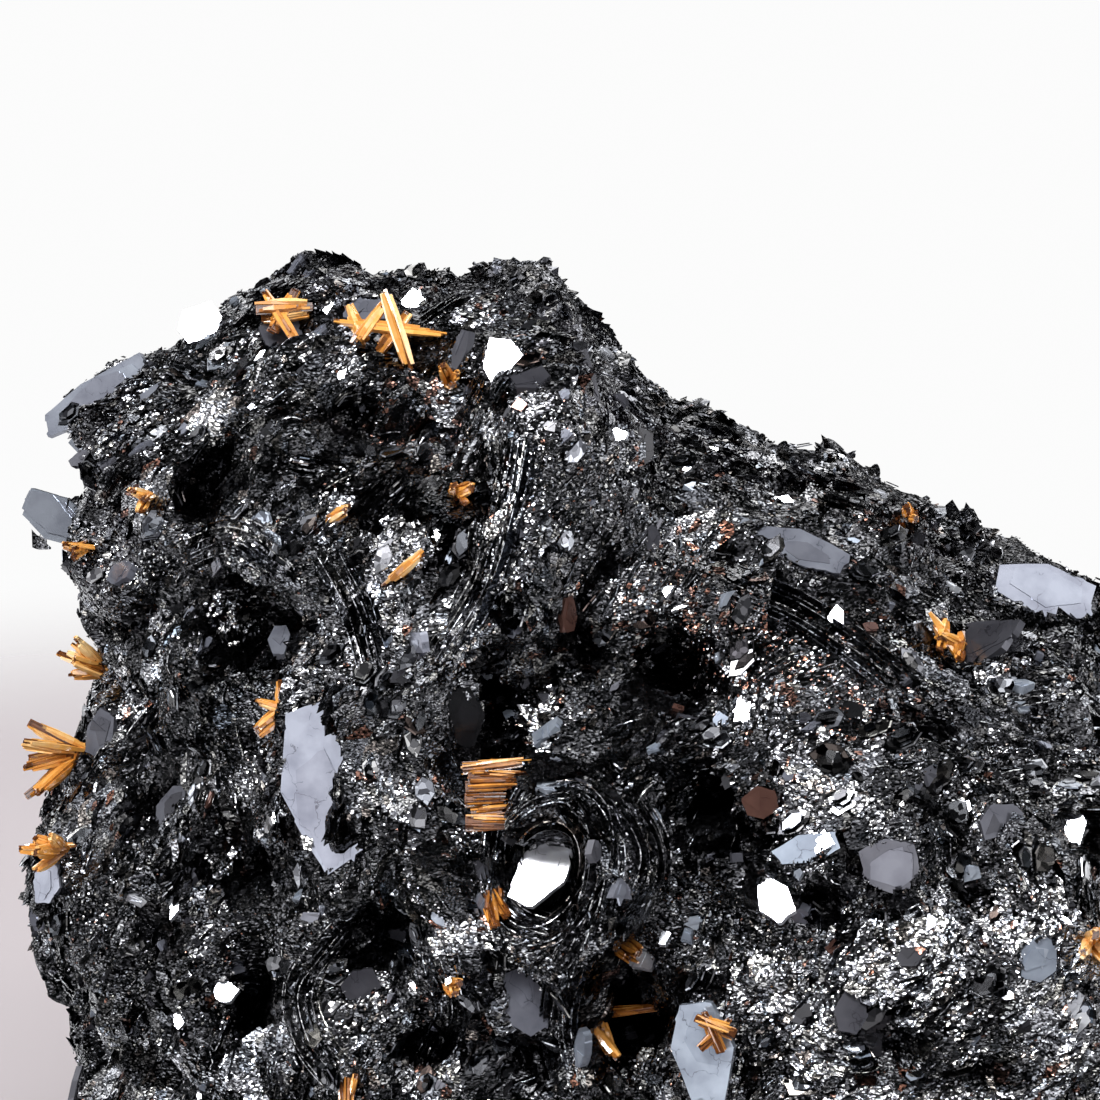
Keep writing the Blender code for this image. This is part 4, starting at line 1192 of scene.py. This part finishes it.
def add_plate(gathered, plate, rng):
    """A plate with broken growth layers on it: one or two, and more on a blade."""
    centre, normal, along, long, wide, look = plate
    # The look's tone is in part painted reflection.
    tone, tint = LOOKS[look].tone, LOOKS[look].tint
    across = np.cross(normal, along)
    is_blade = look == "blade"
    layers = [(centre, long, wide, -PLATE_ROOT, PLATE_TOP)]
    for level in range(int(rng.integers(1, 3)) + (2 if is_blade else 0)):
        shift = along * rng.uniform(-0.35, 0.35) * long + across * rng.uniform(-0.3, 0.3) * wide
        share = rng.uniform(0.45, 0.7)
        layers.append((centre + shift, long * share, wide * share, 0.0, LAYER_TOP + LAYER_STEP * level))
    for middle, half_long, half_wide, low, high in layers:
        points, faces = jagged_plate(middle, normal, along, half_long, half_wide, low, high, rng)
        shade = tone + rng.uniform(-0.07, 0.07) * (2.0 if is_blade else 1.0)
        shades = [np.full(len(group), shade) for group in faces]
        gathered.add(points, faces, shades, [np.full(len(group), tint) for group in faces])


def chance_plates(skin, domains, tree, plates):
    """Small plates all over, which lie the way of their domain."""
    rng = seeded("small_plates")
    points, normals = sample_surface(skin.data, SMALL_PLATES, rng, scale_weight)
    free = ~within_plates(points, plates, 1.5, 3.0 * MM)
    points, normals = points[free], normals[free]
    index = nearest_domains(tree, points, 0.0)
    lie = unit(domains.planes[index] + 0.3 * normals)
    looks = rng.choice(list(LOOKS), size=len(points), p=[look.share for look in LOOKS.values()])
    spread = []
    for point, way, normal, grain, look in zip(points, lie, normals, domains.grain[index], looks):
        # White ones turn to mirror the key light, and their bright tone adds painted highlight.
        if look == "white" and glint_normals(point[None])[0] @ normal > 0.55:
            way = glint_normals(point[None])[0]
        along = grain - way * (grain @ way)
        long = rng.lognormal(math.log(SMALL_PLATE_SIZE / MM), 0.42) * MM
        wide = long * rng.uniform(0.28, 0.75)
        raised = point + normal * 0.12 * MM
        spread.append(Plate(raised, way, along / np.linalg.norm(along), long, wide, look))
    return spread


def add_plates(plates):
    """All plates as one piece."""
    rng = seeded("plates")
    gathered = Gathered()
    for plate in plates:
        add_plate(gathered, plate, rng)
    hematite_piece(gathered, "hematite_plates", plate_material())


# Rutile.


def sharp_edges(mesh):
    """A solid's ridges, longest first, as (start, end, the way in from the ridge)."""
    mesh.calc_loop_triangles()
    beside = {}
    for tri in mesh.loop_triangles:
        corners = [tuple(round(c, 7) for c in mesh.vertices[i].co) for i in tri.vertices]
        for a, b in zip(corners, corners[1:] + corners[:1]):
            beside.setdefault(tuple(sorted((a, b))), []).append(tri.normal.copy())
    edges = []
    for (a, b), normals in sorted(beside.items(), key=lambda item: item[0]):
        a, b = Vector(a), Vector(b)
        sharp = len(normals) == 2 and normals[0].dot(normals[1]) < RIDGE_SHARPNESS
        if sharp and (b - a).length > LEAST_RIDGE:
            edges.append((a, b, -(normals[0] + normals[1]).normalized()))
    return sorted(edges, key=lambda edge: (edge[0] - edge[1]).length, reverse=True)


def ridge_lines(mesh):
    """The ridges of a spray's needles, each made one line where crossings break it: (start, end, way in)."""
    lines = []
    for a, b, inward in sharp_edges(mesh):
        along = (b - a).normalized()
        for line in lines:
            start, way, line_inward = line[:3]
            offset = (a + b) / 2 - start
            aside = (offset - way * offset.dot(way)).length
            if abs(along.dot(way)) > 0.998 and aside < SAME_RIDGE and inward.dot(line_inward) > 0.6:
                reach = ((a - start).dot(way), (b - start).dot(way))
                line[3:] = [min(line[3], *reach), max(line[4], *reach)]
                break
        else:
            lines.append([a, along, inward, 0.0, (b - a).length])
    return [(start + way * low, start + way * high, inward) for start, way, inward, low, high in lines]


def rooted(tree, start, end):
    """The end of a bar, carried on into the hematite where it points into it."""
    way = (end - start).normalized()
    _, normal, _, away = tree.find_nearest(end)
    points_in = way.dot(normal) < -0.35
    return end + way * ROOT_LENGTH if away < ROOT_REACH and points_in else end


def spray_bars(mesh, fine, tree, rng):
    """Parallel bars along the ridges of a spray's needles: (starts, ends, half widths, tones)."""
    width, count, spread = (FINE_BAR, FINE_BARS, 4.0) if fine else (BROAD_BAR, BROAD_BARS, 1.6)
    lines = ridge_lines(mesh)
    if max((end - start).length for start, end, _ in lines) < SMALL_SPRAY:
        width = SMALL_BAR
    bars = []
    for start, end, inward in lines:
        if (end - start).length < LEAST_BAR:
            continue
        start, end = rooted(tree, end, start), rooted(tree, start, end)
        way = (end - start).normalized()
        aside = way.cross(inward).normalized()
        # Fine sprays take darker tones than broad ones: painted shade, as several lie deep in clefts and
        # pits.
        shade = rng.uniform(0.0, 0.5) if fine else rng.uniform(0.25, 0.8)
        for _ in range(count):
            half = width * rng.uniform(0.5, 1.0) * MM
            shift = inward * rng.uniform(0.2, spread) * half + aside * rng.uniform(-spread, spread) * half
            trims = rng.uniform(-0.02, 0.3, 2) * (end - start).length
            tilt = Vector(rng.normal(size=3)) * BAR_TILT
            tone = shade + rng.uniform(-0.25, 0.25)
            first = start + shift - tilt + way * trims[0]
            last = end + shift + tilt - way * trims[1]
            bars.append((first, last, half, tone))
    starts, ends, halves, tones = zip(*bars)
    return np.array(starts), np.array(ends), np.array(halves), np.array(tones)


def bar_solids(starts, ends, wide, rng):
    """Closed four-sided bars in steps along their length, which narrow to chisel tips."""
    count, rings = len(starts), BAR_STEPS + 1
    along = unit(ends - starts)
    side = unit(np.cross(along, rng.normal(size=along.shape)))
    up = np.cross(along, side) * rng.uniform(0.45, 1.0, (count, 1))
    corners = np.array([(1, 1), (-1, 1), (-1, -1), (1, -1)])
    ring = corners[None, :, 0, None] * side[:, None, :] + corners[None, :, 1, None] * up[:, None, :]
    ring = ring * wide[:, None, None]
    share = np.linspace(0, 1, rings)
    taper = np.where((share == 0) | (share == 1), 0.6, 1.0)
    middles = starts[:, None, :] + (ends - starts)[:, None, :] * share[None, :, None]
    points = (middles[:, :, None, :] + ring[:, None, :, :] * taper[None, :, None, None]).reshape(-1, 3)
    base = (np.arange(count) * rings * 4)[:, None]
    order = np.arange(4)
    after = (order + 1) % 4
    strip = np.stack([order, after, after + 4, order + 4], axis=1)
    strips = np.concatenate([strip + s * 4 for s in range(BAR_STEPS)])
    side_faces = (base[:, :, None] + strips[None]).reshape(-1, 4)
    caps = np.array([[3, 2, 1, 0], [0, 1, 2, 3]]) + np.array([[0], [BAR_STEPS * 4]])
    return points, [side_faces, (base[:, :, None] + caps[None]).reshape(-1, 4)], middles


def depth_tones(tree, middles, tones):
    """A tone for each step of the bars, with painted shade: dark near the hematite at their roots and
    brighter where they stand free.
    """
    spots = (middles[:, 1:] + middles[:, :-1]) / 2
    clear = np.array([[tree.find_nearest(Vector(p))[3] for p in row] for row in spots])
    return np.clip(tones[:, None] + 0.3 * np.clip(clear / (1.6 * MM), 0, 1) - 0.12, 0, 1)


def dark_core(gathered, mesh):
    """The spray's solid, drawn in a little and nearly black, which closes the gaps between its bars with
    painted shade.
    """
    mesh.calc_loop_triangles()
    inner = mesh_points(mesh) - vertex_normals(mesh) * 0.12 * MM
    tris = np.array([t.vertices[:] for t in mesh.loop_triangles])
    gathered.add(inner, [tris], [np.full(len(tris), 0.05)], [np.full(len(tris), 0.5)])


def add_rutile(tree):
    """Each spray's solid becomes a bundle of bars and needles over a core painted dark as shade."""
    material = rutile_material()
    rng = seeded("rutile")
    for name, node in rutile_nodes():
        starts, ends, wide, tones = spray_bars(node.data, name in FINE_SPRAYS, tree, rng)
        points, faces, middles = bar_solids(starts, ends, wide, rng)
        steps = depth_tones(tree, middles, tones)
        shades = [np.repeat(steps.ravel(), 4), np.stack([steps[:, 0], steps[:, -1]], axis=1).ravel()]
        gathered = Gathered()
        gathered.add(points, faces, shades, [np.full(len(s), 0.5) for s in shades])
        dark_core(gathered, node.data)
        piece = gathered.piece(name + "_needles", material)
        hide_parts(name)
        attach(piece, "root")


# Studio.


def add_camera():
    """The camera, where the photograph was taken from."""
    camera = bpy.data.cameras.new("camera")
    camera.lens = camera.sensor_width * DISTANCE / FRAME_WIDTH
    camera.clip_start = 0.01
    camera.clip_end = 20.0
    obj = linked("camera", camera)
    obj.location = CAMERA
    obj.rotation_euler = (TARGET - CAMERA).to_track_quat("-Z", "Y").to_euler()
    bpy.context.scene.camera = obj


def add_softbox(name, direction, distance, size, watts):
    """A rectangular light that faces the specimen from a direction."""
    light = bpy.data.lights.new(name, "AREA")
    light.shape = "RECTANGLE"
    light.size, light.size_y = size
    light.energy = watts
    obj = linked(name, light)
    away = Vector(direction).normalized()
    obj.location = LIGHT_CENTRE + away * distance
    obj.rotation_euler = (-away).to_track_quat("-Z", "Y").to_euler()
    return obj


# The room as the mirror faces show it: dark, with patches of bright card.
ROOM_SHADES = [
    (0.0, (0.002, 0.002, 0.0025)),
    (0.525, (0.006, 0.006, 0.008)),
    (0.555, (0.4, 0.41, 0.43)),
    (0.6, (2.0, 2.02, 2.08)),
    (0.68, (3.4, 3.4, 3.5)),
]


# The lights: name, the way to them, distance, size and watts.
SOFTBOXES = (
    ("key_softbox", KEY_DIRECTION, LIGHT_REACH, (0.16, 0.16), 3.2),
    ("right_softbox", (0.95, -0.25, 0.55), LIGHT_REACH, (0.12, 0.3), 0.5),
    ("back_softbox", (0.2, 0.9, 0.8), LIGHT_REACH, (0.3, 0.2), 0.6),
    ("left_softbox", (-0.98, 0.1, 0.35), LIGHT_REACH, (0.1, 0.3), 0.3),
)


def add_studio():
    """A white backdrop, the room in the mirror faces, and the lights."""
    scene = bpy.context.scene
    scene.view_settings.view_transform = "Standard"
    scene.world = bpy.data.worlds.new("studio")
    scene.world.use_nodes = True
    graph = Graph(scene.world.node_tree)
    behind = graph.nodes["Background"]
    behind.inputs["Color"].default_value = (0.97, 0.97, 0.97, 1.0)
    cards = graph.noise(graph.add("TexCoord").outputs["Generated"], 2.6, 1.0)
    around = graph.add("Background")
    graph.links.new(graph.ramp(cards["Fac"], ROOM_SHADES), around.inputs["Color"])
    mix = graph.add("MixShader")
    in_view = graph.add("LightPath").outputs["Is Camera Ray"]
    graph.feed(mix.inputs, (in_view, around.outputs[0], behind.outputs[0]))
    graph.links.new(mix.outputs[0], graph.nodes["World Output"].inputs["Surface"])
    for softbox in SOFTBOXES:
        add_softbox(*softbox)
    fill = add_softbox("fill", (0.0, -0.3, 1.0), 1.0, (1.2, 1.2), 5.0)
    fill.visible_glossy = False


def add_floor():
    """A pale table, greyish pink round the specimen and white further out."""
    material, graph, shader = new_material("table")
    length = graph.add("VectorMath", operation="LENGTH")
    graph.links.new(graph.coords(), length.inputs[0])
    far = graph.add("MapRange", interpolation_type="SMOOTHSTEP", From_Min=0.15, From_Max=0.24)
    graph.links.new(length.outputs["Value"], far.inputs["Value"])
    shader.inputs["Base Color"].default_value = (0.452, 0.411, 0.422, 1.0)
    shader.inputs["Roughness"].default_value = 0.9
    mix = graph.add("MixShader")
    clear = graph.add("BsdfTransparent")
    graph.feed(mix.inputs, (far.outputs["Result"], shader.outputs[0], clear.outputs[0]))
    graph.links.new(mix.outputs[0], graph.nodes["Material Output"].inputs["Surface"])
    bpy.ops.mesh.primitive_plane_add(size=4.0, location=(0, 0, -0.4 * MM))
    floor = bpy.context.object
    floor.name = "table"
    floor.data.materials.append(material)
    floor.visible_glossy = False


# The whole scene, from the studio to the mass and what grows on it.
add_camera()
add_studio()
add_floor()
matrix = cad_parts["hematite_matrix"]
matrix_tree = BVHTree.FromObject(matrix, bpy.context.evaluated_depsgraph_get())
hollows = hollow_list(matrix_tree, matrix.data)
plates = plate_list(matrix_tree, matrix.data)
mass = shape_mass(hollows, plates)
domains = crust_domains(mass)
seed_tree = point_tree(domains.seeds)
skin = make_skin(mass, domains, seed_tree, plates, hollows)
add_scales(skin, domains, seed_tree, plates, hollows)
add_books(skin, domains, seed_tree, plates, hollows)
add_blades(skin, plates, hollows)
add_plates(plates + chance_plates(skin, domains, seed_tree, plates))
add_rutile(matrix_tree)
